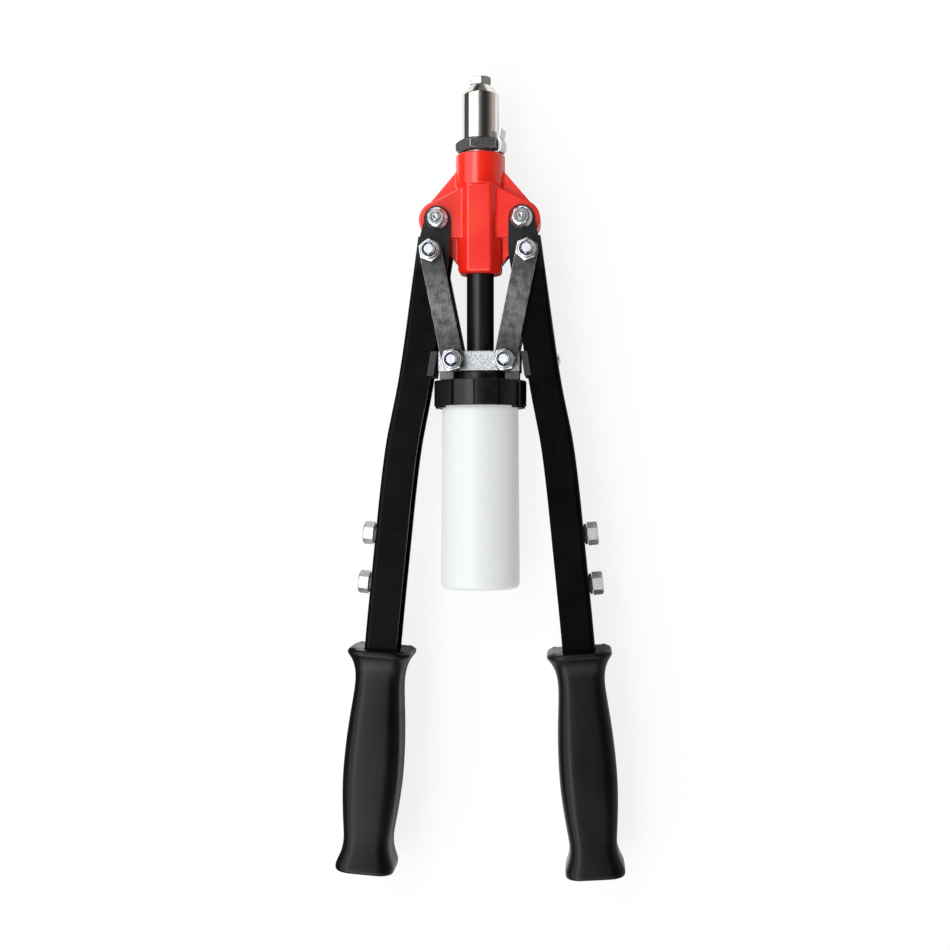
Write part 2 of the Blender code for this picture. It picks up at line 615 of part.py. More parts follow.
def blended(points, spread, steps=4):
    """Polyline with each inner corner replaced by a short curve that reaches a share of each side."""
    smooth = [points[0]]
    for before, corner, after in zip(points, points[1:], points[2:]):
        start = corner.lerp(before, spread)
        stop = corner.lerp(after, spread)
        for i in range(steps + 1):
            share = i / steps
            smooth.append(start.lerp(corner, share).lerp(corner.lerp(stop, share), share))
    smooth.append(points[-1])
    return smooth


def arm_tail_direction():
    return Vector((math.sin(ARM_TAIL_LEAN), -math.cos(ARM_TAIL_LEAN)))


def arm_edges():
    """Outer and inner long edges of the right arm, from the front of the web to the tail."""
    tail = Vector(ARM_WRIST) + arm_tail_direction() * ARM_TAIL_LENGTH
    corners = [Vector(ARM_WEB_FRONT), Vector(ARM_KNEE), Vector(ARM_ELBOW), Vector(ARM_WRIST), tail]
    widths = [ARM_FORK_WIDTH, ARM_KNEE_WIDTH, ARM_TAIL_WIDTH, ARM_TAIL_WIDTH, ARM_TAIL_WIDTH]
    inner = []
    for i, (corner, width) in enumerate(zip(corners, widths)):
        before = corners[max(i - 1, 0)]
        after = corners[min(i + 1, len(corners) - 1)]
        along = (after - before).normalized()
        inner.append(corner + Vector((along.y, -along.x)) * width)
    return blended(corners, ARM_BLEND), blended(inner, ARM_BLEND)


def point_on(edge, height):
    """Point and downward direction of a long edge at this height along the tool."""
    for first, second in zip(edge, edge[1:]):
        if first.y >= height > second.y:
            share = (first.y - height) / (first.y - second.y)
            return first.lerp(second, share), (second - first).normalized()
    raise ValueError("height is beyond the arm")


def offset_outward(edge, distance):
    """Edge moved square to itself, outward from the tool's axis for a plus distance."""
    moved = []
    for i, point in enumerate(edge):
        along = (edge[min(i + 1, len(edge) - 1)] - edge[max(i - 1, 0)]).normalized()
        moved.append(point + Vector((-along.y, along.x)) * distance)
    return moved


def arm(side_name, sign, body):
    """Channel bent from sheet: web outside, two flanges inward, a fork at the front end."""
    outer, inner = arm_edges()
    fork_side = MAIN_PIVOT_X - ARM_FORK_RADIUS
    shoulder = ARM_WEB_FRONT[1]
    fork = arc((MAIN_PIVOT_X, 0), ARM_FORK_RADIUS, math.radians(-8), math.radians(180), 10)
    fork_root = (ARM_WEB_FRONT[0] - ARM_SHEET / 2, shoulder)
    outline = [tuple(p) for p in reversed(outer)] + [fork_root] + fork
    outline += [(fork_side, ARM_PIN.y)] + [tuple(p) for p in inner if p.y < ARM_PIN.y - ARM_THROAT_DROP]
    on_web = {(round(sign * p.x, 6), round(p.y, 6)) for p in outer}

    def web_corner(edge):
        ends = [(round(v.co.x, 6), round(v.co.y, 6)) in on_web for v in edge.verts]
        return all(ends) and abs(edge.verts[0].co.z - edge.verts[1].co.z) < GAP \
            and (edge.verts[0].co - edge.verts[1].co).length > GAP

    depth = ARM_OUTER_HALF_DEPTH
    name = "arm_" + side_name
    channel = prism(name, mirrored(outline, sign), -depth, depth, PAINT_BLACK, body, bevel=ARM_OUTER_BEND,
                    bevel_steps=3, pick=web_corner)
    hollow_edge = offset_outward(outer, -ARM_SHEET)
    last = hollow_edge[-1] + arm_tail_direction() * CUT_OVERRUN
    hollow = [tuple(last)] + [tuple(p) for p in reversed(hollow_edge)]
    step = shoulder - ARM_SHEET / 4
    beyond = ARM_WEB_FRONT[0] + ARM_FORK_WIDTH
    hollow += [(hollow_edge[0].x, step), (beyond, step), (beyond, ARM_FORK_WIDTH), (0, ARM_FORK_WIDTH),
               (0, last.y - ARM_FORK_WIDTH), (last.x - 2 * ARM_TAIL_WIDTH, last.y)]
    cut(channel, prism(name + "_hollow", mirrored(hollow, sign), -ARM_INNER_HALF_DEPTH, ARM_INNER_HALF_DEPTH,
                       PAINT_BLACK, body))
    for hole, place in (("pivot", (MAIN_PIVOT_X, 0)), ("pin", tuple(ARM_PIN))):
        cut(channel, rod(name + "_" + hole + "_hole", PIN_HOLE_RADIUS, -CUT_REACH, CUT_REACH, PAINT_BLACK,
                         body, (sign * place[0], place[1], 0)))
    return channel


def web_frame(height, sign):
    """Place on the web's outer face and the rotation that points local Z straight out of it."""
    outer, _ = arm_edges()
    point, along = point_on(outer, height)
    out = Vector((-along.y, along.x))
    turn = math.atan2(out.y, out.x)
    angle = turn if sign > 0 else math.pi - turn
    return (sign * point.x, point.y, 0), (0, math.pi / 2, angle)


def spare_nosepieces(side_name, sign, body, channel, hole_radii):
    """Threaded sockets through the web, each with a spare nosepiece screwed in from outside."""
    for index, (height, hole_radius) in enumerate(zip(SPARE_AT, hole_radii)):
        place, rotation = web_frame(height, sign)
        label = side_name + ("_front", "_rear")[index]
        bore = NOSE_THREAD_RADIUS + GAP
        low = -ARM_SHEET - SOCKET_BARREL_LENGTH
        profile = [(bore, low), (SOCKET_BARREL_RADIUS, low), (SOCKET_BARREL_RADIUS, GAP),
                   (SOCKET_FLANGE_RADIUS, GAP), (SOCKET_FLANGE_RADIUS, SOCKET_FLANGE_HEIGHT),
                   (bore, SOCKET_FLANGE_HEIGHT)]
        turned("spare_socket_" + label, profile, BLACK_OXIDE, body, place, rotation, COARSE)
        cut(channel, rod("socket_hole_" + label, SOCKET_BARREL_RADIUS + GAP, -ARM_SHEET - CUT_OVERRUN,
                         CUT_OVERRUN, PAINT_BLACK, body, place, rotation))
        seat = Vector((sign * math.cos(web_out_angle(height)), math.sin(web_out_angle(height)), 0))
        place = tuple(Vector(place) + seat * (SOCKET_FLANGE_HEIGHT + GAP))
        nosepiece("spare_nosepiece_" + label, SPARE_HEX_HEIGHT, SPARE_SHANK_LENGTH, hole_radius, body,
                  place, rotation)


def web_out_angle(height):
    outer, _ = arm_edges()
    _, along = point_on(outer, height)
    return math.atan2(along.x, -along.y)


def stop_pad(side_name, sign, body, channel):
    """Rubber block seated in the channel, its face just clear of the crosshead's end."""
    outer, inner = arm_edges()
    web_inside = offset_outward(outer, -ARM_SHEET - GAP)
    rear = PAD_FRONT - PAD_HEIGHT
    front_seat, _ = point_on(web_inside, PAD_FRONT)
    rear_seat, _ = point_on(web_inside, rear)
    face_front = CROSSHEAD_HALF_WIDTH + GAP
    edge_front, _ = point_on(inner, PAD_FRONT)
    edge_rear, _ = point_on(inner, rear)
    face_rear = face_front + edge_rear.x - edge_front.x
    outline = [(face_front, PAD_FRONT), (front_seat.x, PAD_FRONT), (rear_seat.x, rear), (face_rear, rear)]
    pad = prism("stop_pad_" + side_name, mirrored(outline, sign), -PAD_HALF_DEPTH, PAD_HALF_DEPTH, RUBBER,
                body, bevel=PAD_BEVEL,
                pick=lambda edge: all(abs(v.co.x) < face_rear + GAP for v in edge.verts))
    height = PAD_FRONT - PAD_SCREW_DROP
    place, rotation = web_frame(height, sign)
    depth = -ARM_SHEET - PAD_SCREW_LENGTH
    profile = [(0, depth), (PAD_SCREW_RADIUS, depth), (PAD_SCREW_RADIUS, GAP), (PAD_SCREW_HEAD_RADIUS, GAP),
               (PAD_SCREW_HEAD_RADIUS, PAD_SCREW_HEAD_HEIGHT / 2),
               (PAD_SCREW_CROWN_RADIUS, PAD_SCREW_HEAD_HEIGHT), (0, PAD_SCREW_HEAD_HEIGHT)]
    turned("pad_screw_" + side_name, profile, ZINC_PLATE, body, place, rotation, COARSE)
    for target, label in ((pad, "pad_hole_"), (channel, "pad_screw_hole_")):
        cut(target, rod(label + side_name, PAD_SCREW_RADIUS + GAP, depth - GAP, CUT_OVERRUN, RUBBER, body,
                        place, rotation))


def grip(side_name, sign, body):
    """Moulded grip lofted along the arm's tail, with a guard flange in front and a flared end."""
    outer, inner = arm_edges()
    outer_at, _ = point_on(outer, GRIP_FRONT)
    inner_at, _ = point_on(inner, GRIP_FRONT)
    centre = (outer_at + inner_at) / 2
    waist_at = GRIP_LENGTH - GRIP_WAIST_FROM_END
    flare_at = GRIP_LENGTH - GRIP_FLARE_FROM_END
    edge, fillet, corner = 2 * GRIP_FLANGE_BEVEL, GRIP_NECK_FILLET, GRIP_END_CORNER
    stations = [
        (0.0, GRIP_FLANGE_WIDTH - edge, GRIP_FLANGE_DEPTH - edge),
        (GRIP_FLANGE_BEVEL, GRIP_FLANGE_WIDTH, GRIP_FLANGE_DEPTH),
        (GRIP_FLANGE_THICKNESS, GRIP_FLANGE_WIDTH - edge / 2, GRIP_FLANGE_DEPTH - edge / 2),
        (GRIP_NECK_AT * 0.4, GRIP_NECK_WIDTH + fillet, GRIP_NECK_DEPTH + fillet),
        (GRIP_NECK_AT, GRIP_NECK_WIDTH, GRIP_NECK_DEPTH),
        (GRIP_NECK_AT + (GRIP_BELLY_AT - GRIP_NECK_AT) * 0.3, *neck_to_belly(0.40)),
        (GRIP_NECK_AT + (GRIP_BELLY_AT - GRIP_NECK_AT) * 0.65, *neck_to_belly(0.83)),
        (GRIP_BELLY_AT, GRIP_BELLY_WIDTH, GRIP_BELLY_DEPTH),
        ((GRIP_BELLY_AT + waist_at) / 2, *belly_to_waist(0.35)),
        (waist_at, GRIP_WAIST_WIDTH, GRIP_WAIST_DEPTH),
        (flare_at, GRIP_END_WIDTH, GRIP_END_DEPTH),
        (GRIP_LENGTH - corner, GRIP_END_WIDTH, GRIP_END_DEPTH),
        (GRIP_LENGTH, GRIP_END_WIDTH - 2 * corner, GRIP_END_DEPTH - 2 * corner),
    ]
    down = arm_tail_direction()
    across = Vector((-down.y, down.x))
    rings = []
    for at, width, depth in stations:
        middle_point = centre + down * at
        ring = []
        for u, w in rounded_section(width / 2, depth / 2):
            point = middle_point + across * u
            ring.append((sign * point.x, point.y, w))
        rings.append(ring)
    handle = lofted("grip_" + side_name, rings, GRIP_PLASTIC, body)
    pocket = pocket_outline(outer, inner, centre, down)
    cut(handle, prism("grip_pocket_" + side_name, mirrored(pocket, sign), -ARM_OUTER_HALF_DEPTH - GAP,
                      ARM_OUTER_HALF_DEPTH + GAP, GRIP_PLASTIC, body))
    return handle


def neck_to_belly(share):
    width = GRIP_NECK_WIDTH + (GRIP_BELLY_WIDTH - GRIP_NECK_WIDTH) * share
    depth = GRIP_NECK_DEPTH + (GRIP_BELLY_DEPTH - GRIP_NECK_DEPTH) * share
    return width, depth


def belly_to_waist(share):
    width = GRIP_BELLY_WIDTH + (GRIP_WAIST_WIDTH - GRIP_BELLY_WIDTH) * share
    depth = GRIP_BELLY_DEPTH + (GRIP_WAIST_DEPTH - GRIP_BELLY_DEPTH) * share
    return width, depth


def pocket_outline(outer, inner, centre, down):
    """Outline of the arm's tail inside the grip, with clearance, open at the grip's front."""
    front = GRIP_FRONT + CUT_OVERRUN
    outer_edge = offset_outward(outer, GAP)
    inner_edge = offset_outward(inner, -GAP)
    outside = [point_on(outer_edge, front)[0]] + [p for p in outer_edge if p.y < front]
    inside = [point_on(inner_edge, front)[0]] + [p for p in inner_edge if p.y < front]
    outside[-1] = outside[-1] + down * GAP
    inside[-1] = inside[-1] + down * GAP
    return [tuple(p) for p in outside] + [tuple(p) for p in reversed(inside)]


def rounded_section(half_width, half_depth, steps=4):
    """Rounded rectangle whose flat front and back are a little over half its width."""
    radius_u = half_width * 0.52
    radius_w = half_depth * 0.55
    points = []
    for quadrant, (su, sw) in enumerate(((1, 1), (-1, 1), (-1, -1), (1, -1))):
        for i in range(steps + 1):
            angle = math.pi / 2 * (quadrant + i / steps)
            points.append((su * (half_width - radius_u) + radius_u * math.cos(angle),
                           sw * (half_depth - radius_w) + radius_w * math.sin(angle)))
    return points


def link(name, sign, layer, body):
    """Flat bar with round ends, turned to lie between the arm pin and the crosshead pin."""
    half = LINK_WIDTH / 2
    low, high = (LINK_INNER_Z, LINK_OUTER_Z) if layer > 0 else (-LINK_OUTER_Z, -LINK_INNER_Z)
    outline = arc((0, 0), half, 0, math.pi, 8) + arc((0, -LINK_LENGTH), half, math.pi, 2 * math.pi, 8)
    turn = sign * -link_lean(0)
    place = (sign * ARM_PIN.x, ARM_PIN.y, 0)
    bar = prism(name, outline, low, high, BARE_STEEL, body, place, (0, 0, turn), bevel=LINK_BEVEL,
                pick=lambda edge: abs(edge.verts[0].co.z - edge.verts[1].co.z) < GAP)
    cut(bar, rod(name + "_pin_hole", PIN_HOLE_RADIUS, -CUT_REACH, CUT_REACH, BARE_STEEL, body, place))
    slot = slot_outline(sign)
    cut(bar, prism(name + "_cross_slot", slot, -CUT_REACH, CUT_REACH, BARE_STEEL, body, place, (0, 0, turn)))
    return bar


def slot_outline(sign):
    """Clearance for the crosshead pin at half stroke, seen from the link, hidden under the nut."""
    half_open = ARM_OPENING / 2
    pin = arm_pin_place(half_open)
    lean = link_lean(0) + (LINK_SWING - ARM_OPENING) / 2
    cross = Vector((CROSS_PIN_X, CROSS_PIN_Y + CROSSHEAD_TRAVEL / 2)) - pin
    along = Vector((math.sin(lean), math.cos(lean)))
    across = Vector((math.cos(lean), -math.sin(lean)))
    drift = Vector((cross.dot(across), cross.dot(along) + LINK_LENGTH))
    heading = math.atan2(drift.y, drift.x)
    radius = PIN_HOLE_RADIUS
    far = (drift.x, drift.y - LINK_LENGTH)
    near = (0, -LINK_LENGTH)
    capsule = arc(far, radius, heading - math.pi / 2, heading + math.pi / 2, 7)
    capsule += arc(near, radius, heading + math.pi / 2, heading + 3 * math.pi / 2, 7)
    return mirrored(capsule, sign)


def crosshead(body):
    half, deep = CROSSHEAD_HALF_WIDTH, CROSSHEAD_HALF_DEPTH
    front = CROSSHEAD_REAR + CROSSHEAD_HEIGHT
    leg_rear = CROSSHEAD_REAR - CROSSHEAD_LEG_HEIGHT
    right = [(half, front), (half, CROSSHEAD_REAR), (CROSSHEAD_LEG_OUTER, CROSSHEAD_REAR),
             (CROSSHEAD_LEG_OUTER, leg_rear), (CROSSHEAD_LEG_INNER, leg_rear),
             (CROSSHEAD_LEG_INNER, CROSSHEAD_REAR)]
    outline = right + [(-x, y) for x, y in reversed(right)]
    block = prism("crosshead", outline, -deep, deep, CAST_ZINC, body, bevel=CROSSHEAD_BEVEL,
                  pick=lambda edge: max(v.co.y for v in edge.verts) > CROSSHEAD_REAR + GAP)
    cut(block, rod("crosshead_tube_hole", TUBE_HOLE_RADIUS, leg_rear - CUT_OVERRUN, front + CUT_OVERRUN,
                   CAST_ZINC, body, rotation=ALONG_TOOL, facets=MEDIUM))
    wide, low_end = half + CUT_OVERRUN, leg_rear - CUT_OVERRUN
    beside_legs = [(wide, low_end), (wide, CROSSHEAD_REAR), (-wide, CROSSHEAD_REAR), (-wide, low_end)]
    for low, high in ((-CUT_REACH, -CROSSHEAD_LEG_HALF_DEPTH), (CROSSHEAD_LEG_HALF_DEPTH, CUT_REACH)):
        cut(block, prism("crosshead_leg_step", beside_legs, low, high, CAST_ZINC, body))
    for side_name, sign in (("left", -1), ("right", 1)):
        cut(block, rod("cross_pin_hole_" + side_name, PIN_HOLE_RADIUS, -CUT_REACH, CUT_REACH, CAST_ZINC,
                       body, (sign * CROSS_PIN_X, CROSS_PIN_Y, 0)))
    return block


def draw_tube(body):
    radius, bore = DRAW_TUBE_RADIUS, DRAW_TUBE_BORE_RADIUS
    spigot_front = TUBE_FRONT + TUBE_SPIGOT_LENGTH
    profile = [(bore, TUBE_REAR), (radius - TUBE_END_BEVEL, TUBE_REAR), (radius, TUBE_REAR + TUBE_END_BEVEL),
               (radius, TUBE_FRONT), (TUBE_SPIGOT_RADIUS, TUBE_FRONT), (TUBE_SPIGOT_RADIUS, spigot_front),
               (bore, spigot_front)]
    return turned("draw_tube", profile, BLACK_OXIDE, body, rotation=ALONG_TOOL, facets=MEDIUM)


def jaw_housing(body):
    """Tube whose front bore closes in a cone, which squeezes the jaws as it is drawn back."""
    cone_rear = HOUSING_FRONT - HOUSING_MOUTH_LENGTH - HOUSING_CONE_LENGTH
    profile = [(HOUSING_BORE_RADIUS, HOUSING_REAR), (HOUSING_RADIUS, HOUSING_REAR),
               (HOUSING_RADIUS, HOUSING_FRONT - HOUSING_NOSE_BEVEL),
               (HOUSING_RADIUS - HOUSING_NOSE_BEVEL, HOUSING_FRONT),
               (HOUSING_MOUTH_RADIUS, HOUSING_FRONT),
               (HOUSING_MOUTH_RADIUS, HOUSING_FRONT - HOUSING_MOUTH_LENGTH),
               (HOUSING_BORE_RADIUS, cone_rear)]
    return turned("jaw_housing", profile, BLACK_OXIDE, body, rotation=ALONG_TOOL, facets=MEDIUM)


def jaw(index, body):
    """One third of a slit cone that grips the mandrel."""
    slope = (HOUSING_BORE_RADIUS - HOUSING_MOUTH_RADIUS) / HOUSING_CONE_LENGTH
    tip_radius = HOUSING_MOUTH_RADIUS - GAP
    cone_front = HOUSING_FRONT - HOUSING_MOUTH_LENGTH
    rear_radius = min(tip_radius + slope * (cone_front - JAW_REAR), HOUSING_BORE_RADIUS) - GAP
    profile = [(JAW_BORE_RADIUS, JAW_REAR), (rear_radius, JAW_REAR), (tip_radius, cone_front - GAP),
               (tip_radius, JAW_FRONT), (JAW_BORE_RADIUS, JAW_FRONT)]
    half_angle = math.pi / 3 - JAW_SPLIT / (JAW_BORE_RADIUS + tip_radius)
    middle_angle = 2 * math.pi * index / 3
    rings = []
    for i in range(JAW_ARC_STEPS + 1):
        angle = middle_angle - half_angle + 2 * half_angle * i / JAW_ARC_STEPS
        out = Vector((math.cos(angle), math.sin(angle), 0))
        rings.append([tuple(out * radius + Vector((0, 0, height))) for radius, height in profile])
    return lofted("jaw_" + str(index + 1), rings, POLISHED_STEEL, body, rotation=ALONG_TOOL)


def jaw_pusher(body):
    front = JAW_REAR - GAP
    rear = front - PUSHER_LENGTH
    outer = HOUSING_BORE_RADIUS - GAP
    profile = [(DRAW_TUBE_BORE_RADIUS, rear), (outer, rear), (outer, front - PUSHER_LENGTH / 2),
               (outer - PUSHER_BEVEL, front), (DRAW_TUBE_BORE_RADIUS, front)]
    return turned("jaw_pusher", profile, BARE_STEEL, body, rotation=ALONG_TOOL, facets=COARSE)


def jaw_spring(body):
    """Coil between the tube's spigot and the pusher, its wire carried round a helix."""
    low = TUBE_FRONT + TUBE_SPIGOT_LENGTH + GAP + SPRING_WIRE_RADIUS
    high = JAW_REAR - PUSHER_LENGTH - 2 * GAP - SPRING_WIRE_RADIUS
    steps = 10 * SPRING_TURNS
    rings = []
    for i in range(steps + 1):
        angle = 2 * math.pi * SPRING_TURNS * i / steps
        centre = Vector((SPRING_MEAN_RADIUS * math.cos(angle), SPRING_MEAN_RADIUS * math.sin(angle),
                         low + (high - low) * i / steps))
        out = Vector((math.cos(angle), math.sin(angle), 0))
        ring = []
        for k in range(5):
            turn = 2 * math.pi * k / 5
            offset = out * math.cos(turn) + Vector((0, 0, 1)) * math.sin(turn)
            ring.append(centre + offset * SPRING_WIRE_RADIUS)
        rings.append(ring)
    return lofted("jaw_spring", rings, SPRING_STEEL, body, rotation=ALONG_TOOL)


def cap_outline():
    """Ribbed rim: broad raised lands with narrow grooves between them."""
    points = []
    pitch = 2 * math.pi / CAP_LANDS
    half_groove = CAP_GROOVE_WIDTH / 2 / CAP_RADIUS
    low = CAP_RADIUS - CAP_GROOVE_DEPTH
    for i in range(CAP_LANDS):
        centre = CAP_FIRST_LAND + i * pitch
        start = centre - pitch / 2 + half_groove
        stop = centre + pitch / 2 - half_groove
        ease = half_groove * 0.35
        points += arc((0, 0), CAP_RADIUS, start, stop, 3)
        points += [(low * math.cos(stop + ease), low * math.sin(stop + ease)),
                   (low * math.cos(centre + pitch / 2 + half_groove - ease),
                    low * math.sin(centre + pitch / 2 + half_groove - ease))]
    return points


def bottle_cap(body):
    cap = prism("bottle_cap", cap_outline(), CAP_REAR, CAP_FRONT, BLACK_PLASTIC, body, rotation=ALONG_TOOL)
    boss = CROSSHEAD_LEG_INNER - CAP_BOSS_CLEARANCE
    join(cap, rod("cap_boss_form", boss, CAP_FRONT - FORM_OVERLAP, CAP_BOSS_FRONT, BLACK_PLASTIC, body,
                  rotation=ALONG_TOOL, facets=FINE))
    low = CAP_REAR - CUT_OVERRUN
    high = CAP_BOSS_FRONT + CUT_OVERRUN
    hollow = [(0, low), (CAP_INNER_RADIUS, low), (CAP_INNER_RADIUS, CAP_SEAT), (TUBE_HOLE_RADIUS, CAP_SEAT),
              (TUBE_HOLE_RADIUS, high), (0, high)]
    cut(cap, turned("cap_hollow", hollow, BLACK_PLASTIC, body, rotation=ALONG_TOOL, facets=FINE))
    return cap


def cap_nut(body):
    """Thin nut that clamps the cap to the draw tube, its chamfered end to the rear."""
    front = CAP_SEAT - GAP
    bore = TUBE_HOLE_RADIUS
    rings = [round_ring(bore, 0, 0, 4), hex_ring(CAP_NUT_FLATS, 0, 0, 4),
             *chamfered_end(CAP_NUT_FLATS, CAP_NUT_HEIGHT, 0, 4), round_ring(bore, CAP_NUT_HEIGHT, 0, 4)]
    return lofted("cap_nut", rings, ZINC_PLATE, body, (0, front, 0), (math.pi / 2, 0, 0), closed=True)


def seal_ring(body):
    front = CAP_SEAT - GAP
    rear = front - SEAL_THICKNESS
    outer = BOTTLE_NECK_RADIUS
    profile = [(SEAL_INNER_RADIUS, rear), (outer, rear), (outer, front), (SEAL_INNER_RADIUS, front)]
    return turned("seal_ring", profile, RUBBER, body, rotation=ALONG_TOOL, facets=FINE)


def collecting_bottle(body):
    """Blown bottle: beaded neck, small shoulder, slightly widening side and a dished base."""
    neck, bead = BOTTLE_NECK_RADIUS, BOTTLE_BEAD_HEIGHT
    shoulder_y = CAP_REAR - GAP
    side_top = shoulder_y - BOTTLE_SHOULDER
    corner = BOTTLE_BASE_CORNER
    outside = [(neck, BOTTLE_RIM)]
    for drop in BOTTLE_BEAD_DROPS:
        outside += [(neck, BOTTLE_RIM - drop), (neck + bead, BOTTLE_RIM - drop - bead),
                    (neck, BOTTLE_RIM - drop - 2 * bead)]
    outside.append((neck, shoulder_y))
    outside += arc((neck, side_top), BOTTLE_TOP_RADIUS - neck, math.pi / 2 * 0.8, 0, 3)
    outside += arc((BOTTLE_BASE_RADIUS - corner, BOTTLE_BASE + corner), corner, 0, -math.pi / 2, 4)
    outside.append((0, BOTTLE_BASE + BOTTLE_DISH))
    wall = BOTTLE_WALL
    inside = [(0, BOTTLE_BASE + BOTTLE_DISH + wall), (BOTTLE_BASE_RADIUS - corner, BOTTLE_BASE + wall),
              (BOTTLE_BASE_RADIUS - wall, BOTTLE_BASE + corner),
              (BOTTLE_TOP_RADIUS - wall, side_top - wall / 2), (neck - wall, shoulder_y - wall / 4),
              (neck - wall, BOTTLE_RIM)]
    return turned("collecting_bottle", outside + inside, WHITE_PLASTIC, body, rotation=ALONG_TOOL,
                  facets=FINE)


def arm_side(side_name, sign, tool, spare_holes):
    """Everything that one arm carries, and the two links that hang on its pin."""
    body = frame_empty("arm_body_" + side_name, (sign * MAIN_PIVOT_X, 0, 0), tool)
    link_body = frame_empty("link_body_" + side_name, (sign * ARM_PIN.x, ARM_PIN.y, 0), body)
    channel = arm(side_name, sign, body)
    stop_pad(side_name, sign, body, channel)
    spare_nosepieces(side_name, sign, body, channel, spare_holes)
    grip(side_name, sign, body)
    pin_place = (sign * ARM_PIN.x, ARM_PIN.y, 0)
    link_pin("arm_pin_" + side_name, body, pin_place, math.radians(20 * sign))
    length = ARM_INNER_HALF_DEPTH - GAP
    profile = [(PIN_HOLE_RADIUS, -length), (SPACER_RADIUS, -length), (SPACER_RADIUS, length),
               (PIN_HOLE_RADIUS, length)]
    turned("pin_spacer_" + side_name, profile, ZINC_PLATE, body, pin_place, facets=COARSE)
    link("link_front_" + side_name, sign, 1, link_body)
    link("link_rear_" + side_name, sign, -1, link_body)


def crosshead_side(tool):
    body = frame_empty("crosshead_body", (0, CROSS_PIN_Y, 0), tool)
    crosshead(body)
    draw_tube(body)
    jaw_housing(body)
    bottle_cap(body)
    cap_nut(body)
    for side_name, sign in (("left", -1), ("right", 1)):
        link_pin("cross_pin_" + side_name, body, (sign * CROSS_PIN_X, CROSS_PIN_Y, 0), math.radians(10))
    jaw_spring(body)
    jaws = frame_empty("jaw_body", (0, JAW_REAR, 0), body)
    for index in range(3):
        jaw(index, jaws)
    jaw_pusher(jaws)
    turning = frame_empty("bottle_turning_body", (0, CAP_SEAT, 0), body)
    seal_ring(turning)
    collecting_bottle(frame_empty("bottle_body", (0, BOTTLE_BASE, 0), turning))


def lay_on_bench(tool):
    """Move the whole tool so that the middle of its footprint is the origin and it stands on Z = 0."""
    bpy.context.view_layer.update()
    low = Vector((1, 1, 1))
    high = Vector((-1, -1, -1))
    for item in bpy.data.objects:
        if item.type != "MESH" or item.hide_render:
            continue
        for vertex in item.data.vertices:
            point = item.matrix_world @ vertex.co
            low = Vector(map(min, low, point))
            high = Vector(map(max, high, point))
    tool.location = (-(low.x + high.x) / 2, -(low.y + high.y) / 2, -low.z)


def report(tool):
    """Print the joint places and ratios that the record states."""
    shift = tool.location
    print("tool shift", [round(v, 6) for v in shift])
    print("main pivot", round(MAIN_PIVOT_X, 6), round(shift.y, 6), round(shift.z, 6))
    print("arm pin", round(ARM_PIN.x, 6), round(ARM_PIN.y + shift.y, 6))
    print("cross pin", round(CROSS_PIN_X, 6), round(CROSS_PIN_Y + shift.y, 6))
    print("travel", round(CROSSHEAD_TRAVEL, 6), "per radian", round(CROSSHEAD_TRAVEL / ARM_OPENING, 7))
    print("link swing", round(math.degrees(LINK_SWING), 4), "ratio", round(LINK_SWING / ARM_OPENING, 6))
    print("cap seat", round(CAP_SEAT + shift.y, 6), "bottle base", round(BOTTLE_BASE + shift.y, 6))
    print("bottle ratio", round(BOTTLE_SLIDE_PER_TURN / (2 * math.pi), 8))


def build():
    empty_scene()
    tool = frame_empty("tool", (0, 0, 0))
    head = frame_empty("head_body", (0, 0, 0), tool)
    head_casting(head)
    front_sleeve(head)
    lock_pieces(head)
    nosepiece("nosepiece", NOSE_HEX_HEIGHT, NOSE_THREAD_LENGTH, NOSE_HOLE_RADIUS, head,
              (0, SLEEVE_FRONT + GAP, 0), ALONG_TOOL)
    main_pivots(head)
    arm_side("left", -1, tool, SPARE_HOLE_RADII[:2])
    arm_side("right", 1, tool, SPARE_HOLE_RADII[2:])
    crosshead_side(tool)
    lay_on_bench(tool)
    report(tool)


build()
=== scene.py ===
import json
from math import acos, atan2, cos, degrees, pi, radians, sin, sqrt, tan

import bmesh
import bpy
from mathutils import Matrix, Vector


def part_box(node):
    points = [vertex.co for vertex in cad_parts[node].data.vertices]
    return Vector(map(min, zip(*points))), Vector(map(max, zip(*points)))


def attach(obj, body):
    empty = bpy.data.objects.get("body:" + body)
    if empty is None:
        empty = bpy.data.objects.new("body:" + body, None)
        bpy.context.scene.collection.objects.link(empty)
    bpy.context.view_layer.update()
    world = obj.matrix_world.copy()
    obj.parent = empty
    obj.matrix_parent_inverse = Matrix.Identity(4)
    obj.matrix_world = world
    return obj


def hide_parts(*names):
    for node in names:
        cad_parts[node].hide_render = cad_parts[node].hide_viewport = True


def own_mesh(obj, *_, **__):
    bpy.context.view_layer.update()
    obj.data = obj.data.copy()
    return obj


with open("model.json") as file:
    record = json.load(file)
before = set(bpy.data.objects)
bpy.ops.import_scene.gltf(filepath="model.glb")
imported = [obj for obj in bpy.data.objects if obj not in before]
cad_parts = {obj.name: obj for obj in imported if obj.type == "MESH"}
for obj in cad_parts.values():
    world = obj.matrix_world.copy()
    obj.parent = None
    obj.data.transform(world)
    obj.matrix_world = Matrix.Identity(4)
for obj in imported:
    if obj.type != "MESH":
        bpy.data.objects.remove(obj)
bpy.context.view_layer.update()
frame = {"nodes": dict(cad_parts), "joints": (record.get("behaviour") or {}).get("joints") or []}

# All sizes are metres. Places are counted from the middle between the two main pivots:
# +X to the right arm, +Y to the nose, +Z up.
# GAP is the clearance between pieces, and PAST is how far a cutting tool runs past a face.
GAP = 0.0003
PAST = 0.001
TINY = 0.0001
EDGE = 0.0002
FINE = 96
ROUND = 64
ALONG_TOOL = (-pi / 2, 0, 0)
SIDES = (("left", -1), ("right", 1))


def joint_named(name):
    return next(joint for joint in frame["joints"] if joint["name"] == name)


def joint_place(name):
    return Vector(joint_named(name)["pos_m"])


